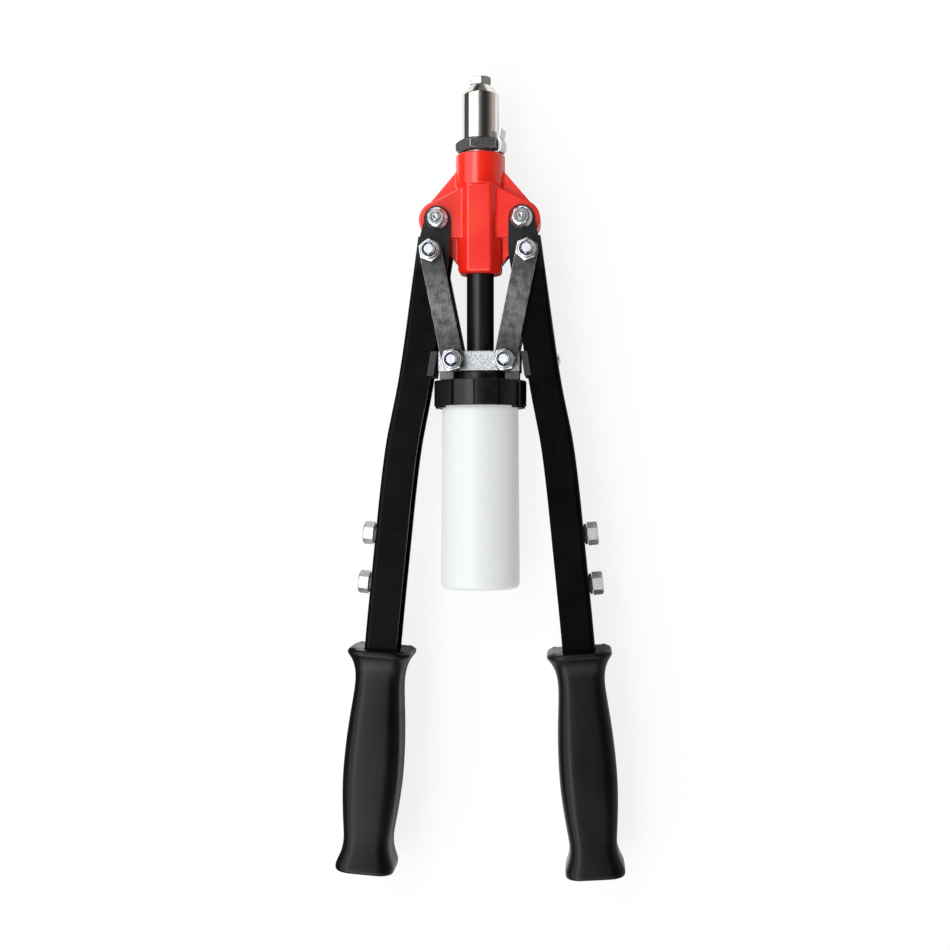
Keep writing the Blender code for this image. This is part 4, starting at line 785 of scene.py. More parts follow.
def head_casting():
    """Barrel, collar, web and ears joined, then melted together as a casting's fillets are."""
    face, side = BARREL_FACE_HALF_WIDTH, BARREL_HALF_WIDTH
    deep, shallow = BARREL_HALF_DEPTH, BARREL_SIDE_HALF_DEPTH
    octagon = [(face, deep), (side, shallow), (side, -shallow), (face, -deep),
               (-face, -deep), (-side, -shallow), (-side, shallow), (-face, deep)]
    casting = traced("head_casting_shell", octagon, BARREL_REAR, COLLAR_REAR + GAP)
    round_off(casting, "FACE", lambda item: item.normal.z < -0.9, BARREL_LIP, 5)
    lengthwise(casting)
    collar = turned("collar", chamfered(COLLAR_RADIUS, COLLAR_REAR, COLLAR_FRONT, COLLAR_BEVEL), FINE)
    ear = settle(traced("ear", ear_outline(), -EAR_HALF_DEPTH, EAR_HALF_DEPTH))
    join(casting, lengthwise(collar))
    join(casting, settle(traced("web", web_outline(), -WEB_HALF_DEPTH, WEB_HALF_DEPTH)))
    for piece in (mirror_copy(ear, "other_ear"), ear):
        join(casting, piece)
    apply_modifier(casting, "REMESH", mode="VOXEL", voxel_size=CASTING_GRAIN)
    apply_modifier(casting, "SMOOTH", factor=0.5, iterations=CASTING_SMOOTHING)
    step = SLEEVE_REAR - GAP
    bore = [(TUBE_HOLE, BARREL_REAR - PAST), (TUBE_HOLE, step), (THREAD_BORE, step),
            (THREAD_BORE, COLLAR_FRONT + PAST)]
    cut(casting, lengthwise(turned("bore", bore, FINE)))
    for _, sign in SIDES:
        hole = turned("hole", [(PIN_HOLE, -ARM_DEPTH), (PIN_HOLE, ARM_DEPTH)])
        cut(casting, settle(hole, (sign * PIVOT.x, 0, 0)))
    dress(casting, RED_PAINT, "head", "head_casting", angle=50)


def front_sleeve():
    shoulder = LOCK_NUT_FRONT + GAP
    throat = NOSE_THREAD + GAP
    lip = SLEEVE_LIP
    profile = [(SLEEVE_BORE, SLEEVE_REAR), (SLEEVE_THREAD, SLEEVE_REAR), (SLEEVE_THREAD, shoulder),
               (SLEEVE_RADIUS - lip, shoulder), (SLEEVE_RADIUS, shoulder + lip),
               (SLEEVE_RADIUS, SLEEVE_CONE_REAR - lip), (SLEEVE_RADIUS - lip * 0.2, SLEEVE_CONE_REAR),
               (SLEEVE_RADIUS - lip * 0.7, SLEEVE_CONE_REAR + lip),
               (SLEEVE_TIP + lip, SLEEVE_FRONT - lip), (SLEEVE_TIP, SLEEVE_FRONT),
               (throat + lip, SLEEVE_FRONT), (throat, SLEEVE_FRONT - lip), (throat, SLEEVE_CAVITY_FRONT),
               (SLEEVE_BORE, SLEEVE_CAVITY_FRONT)]
    sleeve = turned("front_sleeve_shell", profile, FINE, closed=True)
    dress(lengthwise(sleeve), POLISHED_STEEL, "head", "front_sleeve", angle=25)


def tab_outline():
    """The tab seen from its side: foot in the washer, swell beside the nut, waist and leaning tip."""
    flat = LOCK_NUT_FLATS / 2 + GAP
    foot = WASHER_THICKNESS / 8
    root = THREAD_BORE + TAB_SWELL / 4
    middle = (WASHER_REAR + TAB_WAIST) / 2
    outline = [(root, WASHER_REAR + foot), (flat, WASHER_REAR + foot)]
    outline += arc((flat, middle), TAB_SWELL, radians(-70), radians(80), 15, rise=TAB_WAIST - middle)
    tip = flat + TAB_LEAN
    outline += [(flat + TAB_SHEET, TAB_WAIST + TAB_NECK), (tip + TAB_SHEET, TAB_FRONT - TAB_SLANT),
                (tip + TAB_SHEET - EDGE, TAB_FRONT), (tip, TAB_FRONT - EDGE), (flat, TAB_WAIST)]
    return outline + [(flat, WASHER_FRONT - foot), (root, WASHER_FRONT - foot)]


def lock_washer():
    plate = [(THREAD_BORE, WASHER_REAR), (WASHER_RADIUS, WASHER_REAR),
             (WASHER_RADIUS, WASHER_FRONT), (THREAD_BORE, WASHER_FRONT)]
    washer = turned("lock_washer_plate", plate, FINE, closed=True)
    join(washer, put(traced("tab", tab_outline(), -TAB_WIDTH / 2, TAB_WIDTH / 2), rotation=(pi / 2, 0, 0)))
    soften(washer, EDGE)
    settle(washer, rotation=(-pi / 2, -TAB_TURN, 0))
    dress(washer, DULL_ZINC, "head", "lock_washer")


def lock_nut():
    nut = hexagon("lock_nut_body", LOCK_NUT_FLATS, LOCK_NUT_REAR, LOCK_NUT_FRONT, (True, True), LOCK_NUT_TURN)
    drill(nut, THREAD_BORE, LOCK_NUT_REAR, LOCK_NUT_FRONT)
    soften(nut, LOCK_NUT_EDGE, 2, 40)
    dress(lengthwise(nut), BLACK_OXIDE, "head", "lock_nut")

    def at_corner(face):
        turn = degrees(atan2(face.normal.x, face.normal.z)) - degrees(LOCK_NUT_TURN)
        outside = (face.calc_center_median() - ORIGIN).xz.length > LOCK_NUT_FLATS / 2
        return outside and abs(face.normal.y) < 0.4 and abs(turn % 60 - 30) < 27

    mark(nut, WORN_EDGE, at_corner)


def nosepiece(name, hex_height, shank_length, hole, turn):
    """Hexagon over a threaded shank, drilled for the mandrel."""
    piece = hexagon(name, NOSE_FLATS, 0, hex_height, turn=turn)
    shank = [(NOSE_THREAD - NOSE_CHAMFER, -shank_length), (NOSE_THREAD, -shank_length + NOSE_CHAMFER),
             (NOSE_THREAD, GAP)]
    join(piece, turned("shank", shank))
    drill(piece, hole, -shank_length, hex_height)
    soften(piece, NOSE_EDGE)
    return piece


def fitted_nosepiece():
    piece = nosepiece("fitted_nosepiece", NOSE_HEX, NOSE_SHANK, NOSE_HOLE, NOSE_TURN)
    dress(lengthwise(piece, (0, SLEEVE_FRONT + GAP, 0)), DULL_ZINC, "head", "nosepiece")


# Pins, bolts and nuts

def threaded_end(radius, low, end, chamfer):
    """Profile of a bolt's end with a few thread turns below its chamfer."""
    profile = [(radius, low)]
    height = low
    while height + THREAD_PITCH < end - chamfer:
        profile += [(radius - THREAD_DEPTH, height + THREAD_PITCH / 2), (radius, height + THREAD_PITCH)]
        height += THREAD_PITCH
    return profile + [(radius, end - chamfer), (radius - chamfer, end)]


def bolt(name, seat_low, thread_from, end, thread_radius, turn=0.0, dimple=None):
    """Hex head below its seat and a shank that ends in a few turns of thread."""
    piece = hexagon(name, PIN_FLATS, seat_low - PIN_HEAD, seat_low, (True, False), turn)
    shank = [(PIN_RADIUS, seat_low - GAP), (PIN_RADIUS, thread_from)]
    chamfer = PIN_END_CHAMFER * thread_radius / PIN_RADIUS
    shank += threaded_end(thread_radius, thread_from + GAP / 10, end, chamfer)
    join(piece, turned("shank", shank))
    if dimple:
        cut(piece, turned("dimple", [(dimple / 3, end - dimple / 2), (dimple, end), (dimple, end + GAP)], 32))
    soften(piece, PIN_EDGE, angle=40)
    return piece


def main_pivot(side_name, sign):
    """Shouldered bolt and flange nut that an arm swings on."""
    seat = ARM_DEPTH + GAP
    nut_top = seat + FLANGE_NUT_HEIGHT
    place = (sign * PIVOT.x, 0, 0)
    screw = bolt("pivot_bolt_body_" + side_name, -seat, ARM_DEPTH, nut_top + PIN_BEYOND_NUT, PIVOT_THREAD,
                 dimple=PIVOT_DIMPLE)
    dress(settle(screw, place), BRIGHT_ZINC, "head", "pivot_bolt_" + side_name)
    nut = hexagon("flange_nut_body_" + side_name, FLANGE_FLATS, seat, nut_top, turn=radians(15 * sign))
    rim = FLANGE_RADIUS - FLANGE_EDGE
    flange = [(rim, seat), (FLANGE_RADIUS, seat + FLANGE_EDGE), (FLANGE_RADIUS, seat + 3 * FLANGE_EDGE),
              (rim, seat + FLANGE_HEIGHT), (FLANGE_FLATS / sqrt(3) - EDGE, seat + 2 * FLANGE_HEIGHT)]
    join(nut, turned("flange", flange, FINE))
    drill(nut, PIVOT_THREAD + GAP, seat, nut_top)
    soften(nut, NUT_EDGE)
    dress(settle(nut, place), BRIGHT_ZINC, "head", "flange_nut_" + side_name)


def link_pin(label, pin, body, turn):
    """Bolt, lock nut and the nut's blue ring on one link pin."""
    seat = LINK_HIGH + GAP
    hex_top = seat + NUT_HEX
    nut_top = hex_top + NUT_COLLAR
    round_from = nut_top - NUT_COLLAR_ROUND
    screw = bolt("bolt_body_" + label, -seat, round_from, nut_top + PIN_BEYOND_NUT, PIN_RADIUS, turn)
    dress(settle(screw, pin), BRIGHT_ZINC, body, "bolt_" + label)
    top = ORIGIN.z + nut_top + PIN_BEYOND_NUT
    mark(screw, BOLT_END, lambda face: face.calc_center_median().z > top - GAP)
    nut = hexagon("nut_body_" + label, PIN_FLATS, seat, hex_top, (True, True), turn)
    collar = [(NUT_COLLAR_RADIUS, hex_top - GAP), (NUT_COLLAR_RADIUS, hex_top + NUT_COLLAR * 0.55)]
    collar += arc((NUT_COLLAR_RADIUS - NUT_COLLAR_BEND, round_from), NUT_COLLAR_BEND, radians(15), pi / 2, 6)
    collar += [(NUT_CRIMP_RADIUS, nut_top - EDGE)]
    join(nut, turned("collar", collar, FINE))
    recess = NUT_CRIMP_RADIUS - TINY
    cut(nut, turned("recess", [(recess, nut_top - NUT_RING_REACH - TINY), (recess, nut_top + PAST)]))
    drill(nut, PIN_HOLE, seat, nut_top)
    soften(nut, NUT_EDGE)
    dress(settle(nut, pin), BRIGHT_ZINC, body, "nut_" + label)
    low, high = nut_top - NUT_RING_REACH, nut_top - GAP
    outer, inner = NUT_CRIMP_RADIUS - GAP, PIN_RADIUS + TINY
    ring = [(inner, low), (outer, low), (outer, high - EDGE), (outer - EDGE, high), (inner + TINY, high),
            (inner, high - TINY)]
    dress(settle(turned("nylon_ring_" + label, ring, closed=True), pin), BLUE_NYLON, body)


def link(end, low, side_name, sign):
    """Flat bar with round ends between the arm pin and the crosshead pin."""
    half = LINK_HALF_WIDTH
    outline = arc((0, 0), half, 0, pi, 24) + arc((0, -LINK_LENGTH), half, pi, 2 * pi, 24)
    bar = traced("link_" + end + "_bar_" + side_name, outline, low, low + LINK_THICKNESS)
    for height in (0, -LINK_LENGTH):
        drill(bar, PIN_HOLE, low, low + LINK_THICKNESS, (0, height))
    soften(bar, LINK_EDGE, 3)
    lean = atan2(ARM_PIN.x - CROSS_PIN.x, ARM_PIN.y - CROSS_PIN.y)
    settle(bar, (sign * ARM_PIN.x, ARM_PIN.y, 0), (0, 0, -sign * lean))
    dress(bar, BARE_STEEL, "links_" + side_name, "link_" + end + "_" + side_name)
    # Painted highlight on the link's rounded edges.
    mark(bar, PAINTED_EDGE_HIGHLIGHT, lambda face: 0.25 < abs(face.normal.z) < 0.85)


def pins_and_links():
    for side_name, sign in SIDES:
        main_pivot(side_name, sign)
        arm_pin = (sign * ARM_PIN.x, ARM_PIN.y, 0)
        cross_pin = (sign * CROSS_PIN.x, CROSS_PIN.y, 0)
        link_pin("arm_pin_" + side_name, arm_pin, "arm_" + side_name, radians(20 * sign))
        link_pin("cross_pin_" + side_name, cross_pin, "crosshead", radians(10))
        link("front", LINK_LOW, side_name, sign)
        link("rear", -LINK_HIGH, side_name, sign)


# Crosshead, tube, cap and bottle

def crosshead():
    """Block between the links, with two shallower legs at its rear."""
    front = CROSSHEAD_REAR + CROSSHEAD_HEIGHT
    leg_end = CROSSHEAD_REAR - LEG_HEIGHT
    right = [(CROSSHEAD_HALF_WIDTH, front), (CROSSHEAD_HALF_WIDTH, CROSSHEAD_REAR),
             (LEG_OUTER, CROSSHEAD_REAR), (LEG_OUTER, leg_end),
             (LEG_INNER, leg_end), (LEG_INNER, CROSSHEAD_REAR)]
    block = traced("crosshead_block", right + [(-x, y) for x, y in reversed(right)],
                   -CROSSHEAD_HALF_DEPTH, CROSSHEAD_HALF_DEPTH)
    soften(block, CROSSHEAD_BEVEL, 1, 40)
    wide, low_end = CROSSHEAD_HALF_WIDTH + PAST, leg_end - PAST
    beside_legs = [(wide, low_end), (wide, CROSSHEAD_REAR), (-wide, CROSSHEAD_REAR), (-wide, low_end)]
    deep = CROSSHEAD_HALF_DEPTH + PAST
    for low, high in ((-deep, -LEG_HALF_DEPTH), (LEG_HALF_DEPTH, deep)):
        cut(block, traced("leg_step", beside_legs, low, high))
    for _, sign in SIDES:
        drill(block, PIN_HOLE, -CROSSHEAD_HALF_DEPTH, CROSSHEAD_HALF_DEPTH, (sign * CROSS_PIN.x, CROSS_PIN.y))
    bore = turned("bore", [(TUBE_HOLE, CROSSHEAD_REAR - PAST), (TUBE_HOLE, front + PAST)], FINE)
    cut(block, put(bore, rotation=ALONG_TOOL))
    soften(block, EDGE, angle=35)
    dress(settle(block), GRAINY_ZINC, "crosshead", "crosshead")


def draw_tube():
    low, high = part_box("draw_tube")
    rear, front = low.y - ORIGIN.y, high.y - ORIGIN.y
    step = front - SPIGOT_LENGTH
    profile = [(TUBE_BORE, rear)] + chamfered(TUBE_RADIUS, rear, step, TUBE_BEVEL)
    profile += [(SPIGOT_RADIUS, step), (SPIGOT_RADIUS, front), (TUBE_BORE, front)]
    tube = turned("draw_tube_shell", profile, FINE, closed=True)
    dress(lengthwise(tube), TUBE_BLACK, "crosshead", "draw_tube")


def cap_outline():
    """Ribbed rim: broad raised lands with narrow grooves between them."""
    outline = []
    pitch = 2 * pi / CAP_LANDS
    half_groove = CAP_GROOVE_WIDTH / 2 / CAP_RADIUS
    low = CAP_RADIUS - CAP_GROOVE_DEPTH
    for i in range(CAP_LANDS):
        middle = CAP_FIRST_LAND + i * pitch
        stop = middle + pitch / 2 - half_groove
        outline += arc((0, 0), CAP_RADIUS, middle - pitch / 2 + half_groove, stop, 10)
        outline += arc((0, 0), low, stop + half_groove * 0.3, stop + half_groove * 1.7, 4)
    return outline


def bottle_cap():
    """Ribbed cap with a boss on the crosshead, a hollow for the bottle's neck and two lugs under its rim."""
    cap = traced("bottle_cap_shell", cap_outline(), CAP_REAR, CAP_FRONT)
    round_off(cap, "FACE", lambda item: abs(item.normal.z) > 0.9, CAP_EDGE, 3)
    boss_front = CROSSHEAD_REAR - GAP
    join(cap, turned("boss", [(CAP_BOSS + CAP_LIP * 2, CAP_FRONT - PAST), (CAP_BOSS, CAP_FRONT + CAP_LIP),
                              (CAP_BOSS, boss_front - CAP_LIP), (CAP_BOSS - CAP_LIP, boss_front)], FINE))
    inner = BOTTLE_NECK + BOTTLE_BEAD + GAP + TINY
    hollow = [(inner + CAP_LIP, CAP_REAR - GAP), (inner, CAP_REAR + CAP_LIP), (inner, CAP_SEAT)]
    cut(cap, turned("cap_hollow", hollow, FINE))
    drill(cap, TUBE_HOLE, CAP_SEAT, boss_front)
    for middle in (0, pi):
        start, stop = middle - CAP_LUG_SPREAD, middle + CAP_LUG_SPREAD
        lug = arc((0, 0), CAP_LUG_OUTER, start, stop, 12) + arc((0, 0), CAP_LUG_INNER, stop, start, 12)
        join(cap, traced("lug", lug, CAP_REAR - CAP_LUG_HEIGHT, CAP_REAR + CAP_LUG_HEIGHT))
    soften(cap, EDGE, angle=50)
    dress(lengthwise(cap), CAP_PLASTIC, "crosshead", "bottle_cap")


def bottle_outside():
    """Profile over the rim, the beaded neck, the shoulder and the side to the middle of the dished base."""
    neck, corner, bead = BOTTLE_NECK, BOTTLE_CORNER, BOTTLE_BEAD
    profile = [(neck - BOTTLE_WALL, BOTTLE_RIM), (neck - GAP, BOTTLE_RIM), (neck, BOTTLE_RIM - GAP)]
    for drop in BOTTLE_BEAD_DROPS:
        for out, down in ((0, 0), (0.8, 0.6), (1, 1), (0.8, 1.4), (0, 2)):
            profile.append((neck + bead * out, BOTTLE_RIM - drop - bead * down))
    profile += [(neck, BOTTLE_SIDE_TOP + BOTTLE_SHOULDER)]
    profile += arc((neck, BOTTLE_SIDE_TOP), BOTTLE_TOP - neck, radians(81), 0, 9, rise=BOTTLE_SHOULDER)
    profile += [((BOTTLE_TOP + BOTTLE_BASE_RADIUS) / 2, (BOTTLE_SIDE_TOP + BOTTLE_BASE) / 2)]
    profile += arc((BOTTLE_BASE_RADIUS - corner, BOTTLE_BASE + corner), corner, 0, -pi / 2, 12)
    dish = BOTTLE_BASE + BOTTLE_DISH
    return profile + [
        (BOTTLE_DISH_RADIUS, BOTTLE_BASE + TINY),
        (BOTTLE_DISH_RADIUS - BOTTLE_DISH_SLOPE / 2, BOTTLE_BASE + BOTTLE_DISH * 0.8),
        (BOTTLE_DISH_RADIUS - BOTTLE_DISH_SLOPE, dish), (BOTTLE_POLE, dish)]


def bottle_inside():
    """Profile from the middle of the base up the inside to the neck."""
    floor = BOTTLE_BASE + BOTTLE_DISH + BOTTLE_WALL
    side = BOTTLE_BASE_RADIUS - BOTTLE_WALL
    return [(BOTTLE_POLE, floor), (BOTTLE_DISH_RADIUS - BOTTLE_DISH_SLOPE, floor),
            (side - BOTTLE_CORNER / 2, floor - BOTTLE_DISH / 2), (side, BOTTLE_BASE + BOTTLE_CORNER),
            (BOTTLE_TOP - BOTTLE_WALL, BOTTLE_SIDE_TOP),
            (BOTTLE_NECK - BOTTLE_WALL, BOTTLE_SIDE_TOP + BOTTLE_SHOULDER - 5 * TINY)]


def collecting_bottle():
    """Blown bottle, turned with a pinhole at its middle that is then closed on both faces."""
    bottle = turned("collecting_bottle_shell", bottle_outside() + bottle_inside(), FINE, closed=True)
    dish = BOTTLE_BASE + BOTTLE_DISH
    open_mesh(bottle, "VERT")
    pick(bottle, "VERT", lambda point: point.co.xy.length < 2 * BOTTLE_POLE and point.co.z < dish + GAP)
    bpy.ops.mesh.merge(type="CENTER")
    pick(bottle, "VERT", lambda point: BOTTLE_POLE / 2 < point.co.xy.length < 2 * BOTTLE_POLE)
    bpy.ops.mesh.merge(type="CENTER")
    deselect()
    dress(lengthwise(bottle), WHITE_PLASTIC_GLOW, "bottle", "collecting_bottle", angle=40)


# Arms and what they carry

def blended(points, steps=16):
    """Line with each inner corner replaced by a curve that reaches a share of each side."""
    smooth = [points[0]]
    for before, corner, after in zip(points, points[1:], points[2:]):
        start = corner.lerp(before, ARM_BLEND)
        stop = corner.lerp(after, ARM_BLEND)
        for i in range(steps + 1):
            share = i / steps
            smooth.append(start.lerp(corner, share).lerp(corner.lerp(stop, share), share))
    return smooth + [points[-1]]


def moved_out(line, distances):
    """Points of a line moved square to it, each by its own distance."""
    moved = []
    for i, (point, distance) in enumerate(zip(line, distances)):
        along = (line[min(i + 1, len(line) - 1)] - line[max(i - 1, 0)]).normalized()
        moved.append(point + Vector((-along.y, along.x)) * distance)
    return moved


def beside(edge, distance):
    return moved_out(edge, [distance] * len(edge))


def arm_edges():
    """Outer and inner long edges of the right arm, from the web's front to the tail's end."""
    tail = GRIP_LENGTH - TAIL_SHORT_OF_GRIP - (GRIP_FRONT - WRIST.y) / cos(TAIL_LEAN)
    corners = [WEB_FRONT, KNEE, ELBOW, WRIST, WRIST + TAIL_DIRECTION * tail]
    inner = moved_out(corners, [-FORK_WIDTH, -KNEE_WIDTH, -TAIL_WIDTH, -TAIL_WIDTH, -TAIL_WIDTH])
    return blended(corners), blended(inner)


ARM_OUTER, ARM_INNER = arm_edges()


def point_on(edge, height):
    """Point of a long edge at this height, and the edge's way to the rear there."""
    for first, second in zip(edge, edge[1:]):
        if first.y >= height > second.y:
            share = (first.y - height) / (first.y - second.y)
            return first.lerp(second, share), (second - first).normalized()
    raise ValueError("height is beyond the arm")


def x_at(edge, height):
    return point_on(edge, height)[0].x


def bevel_along(piece, edge, depth, width, segments):
    """Round the long edges that run along this line at the plate's two faces."""
    line = {(round(point.x, 6), round(point.y, 6)) for point in edge}

    def on_line(item):
        ends = [(round(point.co.x, 6), round(point.co.y, 6)) in line for point in item.verts]
        flat = all(abs(abs(point.co.z) - depth) < GAP for point in item.verts)
        same_face = item.verts[0].co.z * item.verts[1].co.z > 0
        return all(ends) and flat and same_face

    round_off(piece, "EDGE", on_line, width, segments)


def arm():
    """Right arm: channel bent from sheet, with its web outside and a fork at the front."""
    fork = arc(PIVOT, FORK_RADIUS, radians(-8), pi, 40) + [(PIVOT.x - FORK_RADIUS, ARM_PIN.y)]
    outline = ARM_OUTER[::-1] + [(WEB_FRONT.x - ARM_SHEET / 2, WEB_FRONT.y)] + fork
    outline += [point for point in ARM_INNER if point.y < ARM_PIN.y - 2 * PAST]
    channel = traced("arm_channel_right", outline, -ARM_DEPTH, ARM_DEPTH)
    bevel_along(channel, ARM_OUTER, ARM_DEPTH, OUTER_BEND, 8)
    hollow_edge = beside(ARM_OUTER, -ARM_SHEET)
    last = hollow_edge[-1] + TAIL_DIRECTION * 5 * PAST
    step = WEB_FRONT.y - ARM_SHEET / 4
    beyond = WEB_FRONT.x + FORK_WIDTH
    hollow = [last] + hollow_edge[::-1] + [(hollow_edge[0].x, step), (beyond, step), (beyond, FORK_WIDTH)]
    hollow += [(0, FORK_WIDTH), (0, last.y - FORK_WIDTH), (last.x - 2 * TAIL_WIDTH, last.y)]
    space = traced("hollow", hollow, -ARM_INNER_DEPTH, ARM_INNER_DEPTH)
    bevel_along(space, hollow_edge, ARM_INNER_DEPTH, INNER_BEND, 4)
    cut(channel, space)
    for place in (PIVOT, ARM_PIN):
        drill(channel, PIN_HOLE, -ARM_DEPTH, ARM_DEPTH, place)
    soften(channel, SHEET_EDGE, 2, 40)
    return settle(channel)


def paint_inner_edge_highlight(piece):
    """The left arm's front flange gets a painted highlight along its inner edge."""
    facing = Vector((0.8, 0, 0.6))

    def on_edge(face):
        middle = face.calc_center_median() - ORIGIN
        broad = face.normal.dot(facing) > 0.9 and face.calc_area() > 1e-7
        return broad and middle.z > 0 and middle.y < CROSS_PIN.y

    mark(piece, PAINTED_EDGE_HIGHLIGHT, on_edge)


def web_frame(height):
    """Place on the right web's outer face and the rotation that points local Z straight out of it."""
    point, along = point_on(ARM_OUTER, height)
    return Vector((point.x, point.y, 0)), (0, pi / 2, atan2(along.x, -along.y))


def spare_pair(side_name, end, height, hole):
    """Threaded socket in an arm's web and the spare nosepiece screwed into it."""
    label = side_name + "_" + end
    place, rotation = web_frame(height)
    bore = NOSE_THREAD + GAP
    low = -ARM_SHEET - SOCKET_LENGTH
    rim, edge = SOCKET_FLANGE_RADIUS, SOCKET_EDGE
    profile = [(bore, low), (SOCKET_RADIUS - edge, low), (SOCKET_RADIUS, low + edge), (SOCKET_RADIUS, GAP),
               (rim, GAP), (rim, SOCKET_FLANGE - edge), (rim - edge, SOCKET_FLANGE), (bore, SOCKET_FLANGE)]
    socket = settle(turned("spare_socket_body_" + label, profile, closed=True), place, rotation)
    tip = nosepiece("spare_nosepiece_body_" + label, SPARE_HEX, SPARE_SHANK, hole, radians(30))
    out = Vector((cos(rotation[2]), sin(rotation[2]), 0)) * (SOCKET_FLANGE + GAP)
    settle(tip, place + out, rotation)
    if side_name == "left":
        mirrored(socket)
        mirrored(tip)
    dress(socket, BLACK_OXIDE, "arm_" + side_name, "spare_socket_" + label)
    dress(tip, DULL_ZINC, "arm_" + side_name, "spare_nosepiece_" + label)


def stop_pad():
    """Right rubber block between the web and the crosshead, with a lip over each flange."""
    web_inside = beside(ARM_OUTER, -ARM_SHEET - GAP)
    face_front = CROSSHEAD_HALF_WIDTH + GAP
    face_rear = face_front + x_at(ARM_INNER, PAD_REAR) - x_at(ARM_INNER, PAD_FRONT)

    def block(name, outer_front, outer_rear, low, high):
        return traced(name, [(face_front, PAD_FRONT), (outer_front, PAD_FRONT), (outer_rear, PAD_REAR),
                             (face_rear, PAD_REAR)], low, high)

    pad = block("stop_pad_block_right", x_at(web_inside, PAD_FRONT), x_at(web_inside, PAD_REAR),
                -PAD_HALF_DEPTH, PAD_HALF_DEPTH)
    for _, side in SIDES:
        low, high = sorted((side * (PAD_HALF_DEPTH - GAP), side * PAD_LIP_DEPTH))
        join(pad, block("neck", x_at(ARM_INNER, PAD_FRONT) - GAP, x_at(ARM_INNER, PAD_REAR) - GAP, low, high))
        low, high = sorted((side * (ARM_DEPTH + GAP), side * PAD_LIP_DEPTH))
        join(pad, block("lip", face_front + PAD_LIP_WIDTH, face_rear + PAD_LIP_WIDTH, low, high))
    soften(pad, PAD_BEVEL, 4)
    return settle(pad)


def pad_screw():
    """Domed screw head with a cross recess, on the right web's outer face."""
    profile = [(SCREW_RADIUS, -ARM_SHEET - SCREW_LENGTH), (SCREW_RADIUS, GAP), (SCREW_HEAD_RADIUS, GAP),
               (SCREW_HEAD_RADIUS, SCREW_RIM)]
    profile += arc((0, SCREW_RIM), SCREW_HEAD_RADIUS, pi / 16, pi * 7 / 16, 6, rise=SCREW_HEAD - SCREW_RIM)
    screw = turned("pad_screw_body_right", profile, 48)
    long_half, short_half = SCREW_HEAD_RADIUS * 0.55, SCREW_HEAD_RADIUS * 0.13
    for x, y in ((long_half, short_half), (short_half, long_half)):
        cut(screw, traced("slot", [(x, -y), (x, y), (-x, y), (-x, -y)], SCREW_RIM, SCREW_HEAD + GAP))
    place, rotation = web_frame(PAD_FRONT - SCREW_DROP)
    return settle(screw, place, rotation)


def grip():
    """Right grip: a rounded bar drawn out through its stations, then pocketed for the arm's tail."""
    rear = [(GRIP_LENGTH - from_end, width, depth) for from_end, width, depth in GRIP_END_STATIONS]
    (_, width, depth), *stations = list(GRIP_FRONT_STATIONS) + rear
    deselect()
    bpy.ops.mesh.primitive_cube_add(size=1)
    handle = named("grip_handle_right")
    handle.scale = (width, depth, 1)
    put(handle, (0, 0, -0.5))
    round_off(handle, "EDGE", lambda edge: abs(edge.verts[0].co.z - edge.verts[1].co.z) > 0.5, GRIP_CORNER, 6)
    open_mesh(handle)
    pick(handle, "FACE", lambda item: item.normal.z < 0.9)
    bpy.ops.mesh.delete(type="ONLY_FACE")
    pick(handle, "VERT", lambda point: point.co.z < -0.5)
    bpy.ops.mesh.delete(type="VERT")
    pick(handle, "FACE", lambda item: True)
    at = 0.0
    for next_at, next_width, next_depth in stations:
        bpy.ops.mesh.extrude_region_move(TRANSFORM_OT_translate={"value": (0, 0, next_at - at)})
        grown = (next_width / width, next_depth / depth, 1)
        bpy.ops.transform.resize(value=grown, center_override=(0, 0, next_at))
        at, width, depth = next_at, next_width, next_depth
    for _ in range(2):
        bpy.ops.mesh.inset(thickness=GRIP_INSET)
    pick(handle, "FACE", lambda item: item.normal.z < -0.9)
    bpy.ops.mesh.inset(thickness=GRIP_INSET)
    face_outward(handle)
    apply_modifier(handle, "SUBSURF", levels=2, render_levels=2)
    middle = (x_at(ARM_OUTER, GRIP_FRONT) + x_at(ARM_INNER, GRIP_FRONT)) / 2
    settle(handle, (middle, GRIP_FRONT, 0), (pi / 2, 0, atan2(TAIL_DIRECTION.x, -TAIL_DIRECTION.y)))
    front = GRIP_FRONT + POCKET_STEP
    walls = []
    for edge in (beside(ARM_OUTER, GAP), beside(ARM_INNER, -GAP)):
        walls.append([(x_at(edge, front), front)] + [point for point in edge if point.y < front])
    pocket = traced("pocket", walls[0] + walls[1][::-1], -ARM_DEPTH - GAP, ARM_DEPTH + GAP)
    return cut(handle, settle(pocket))


def both_arms(piece, look, node):
    """Dress the right arm's piece and its mirror copy on the left arm."""
    twin = mirror_copy(piece, piece.name.replace("right", "left"))
    dress(piece, look, "arm_right", node + "_right")
    dress(twin, look, "arm_left", node + "_left")
    return twin


def arms():
    paint_inner_edge_highlight(both_arms(arm(), BLACK_PAINT, "arm"))
    both_arms(grip(), GRIP_PLASTIC, "grip")
    both_arms(stop_pad(), PAD_RUBBER, "stop_pad")
    both_arms(pad_screw(), BRIGHT_ZINC, "pad_screw")
    for index, end in enumerate(("front", "rear")):
        for side_name, holes in SPARE_HOLES.items():
            spare_pair(side_name, end, SPARE_AT[index], holes[index])


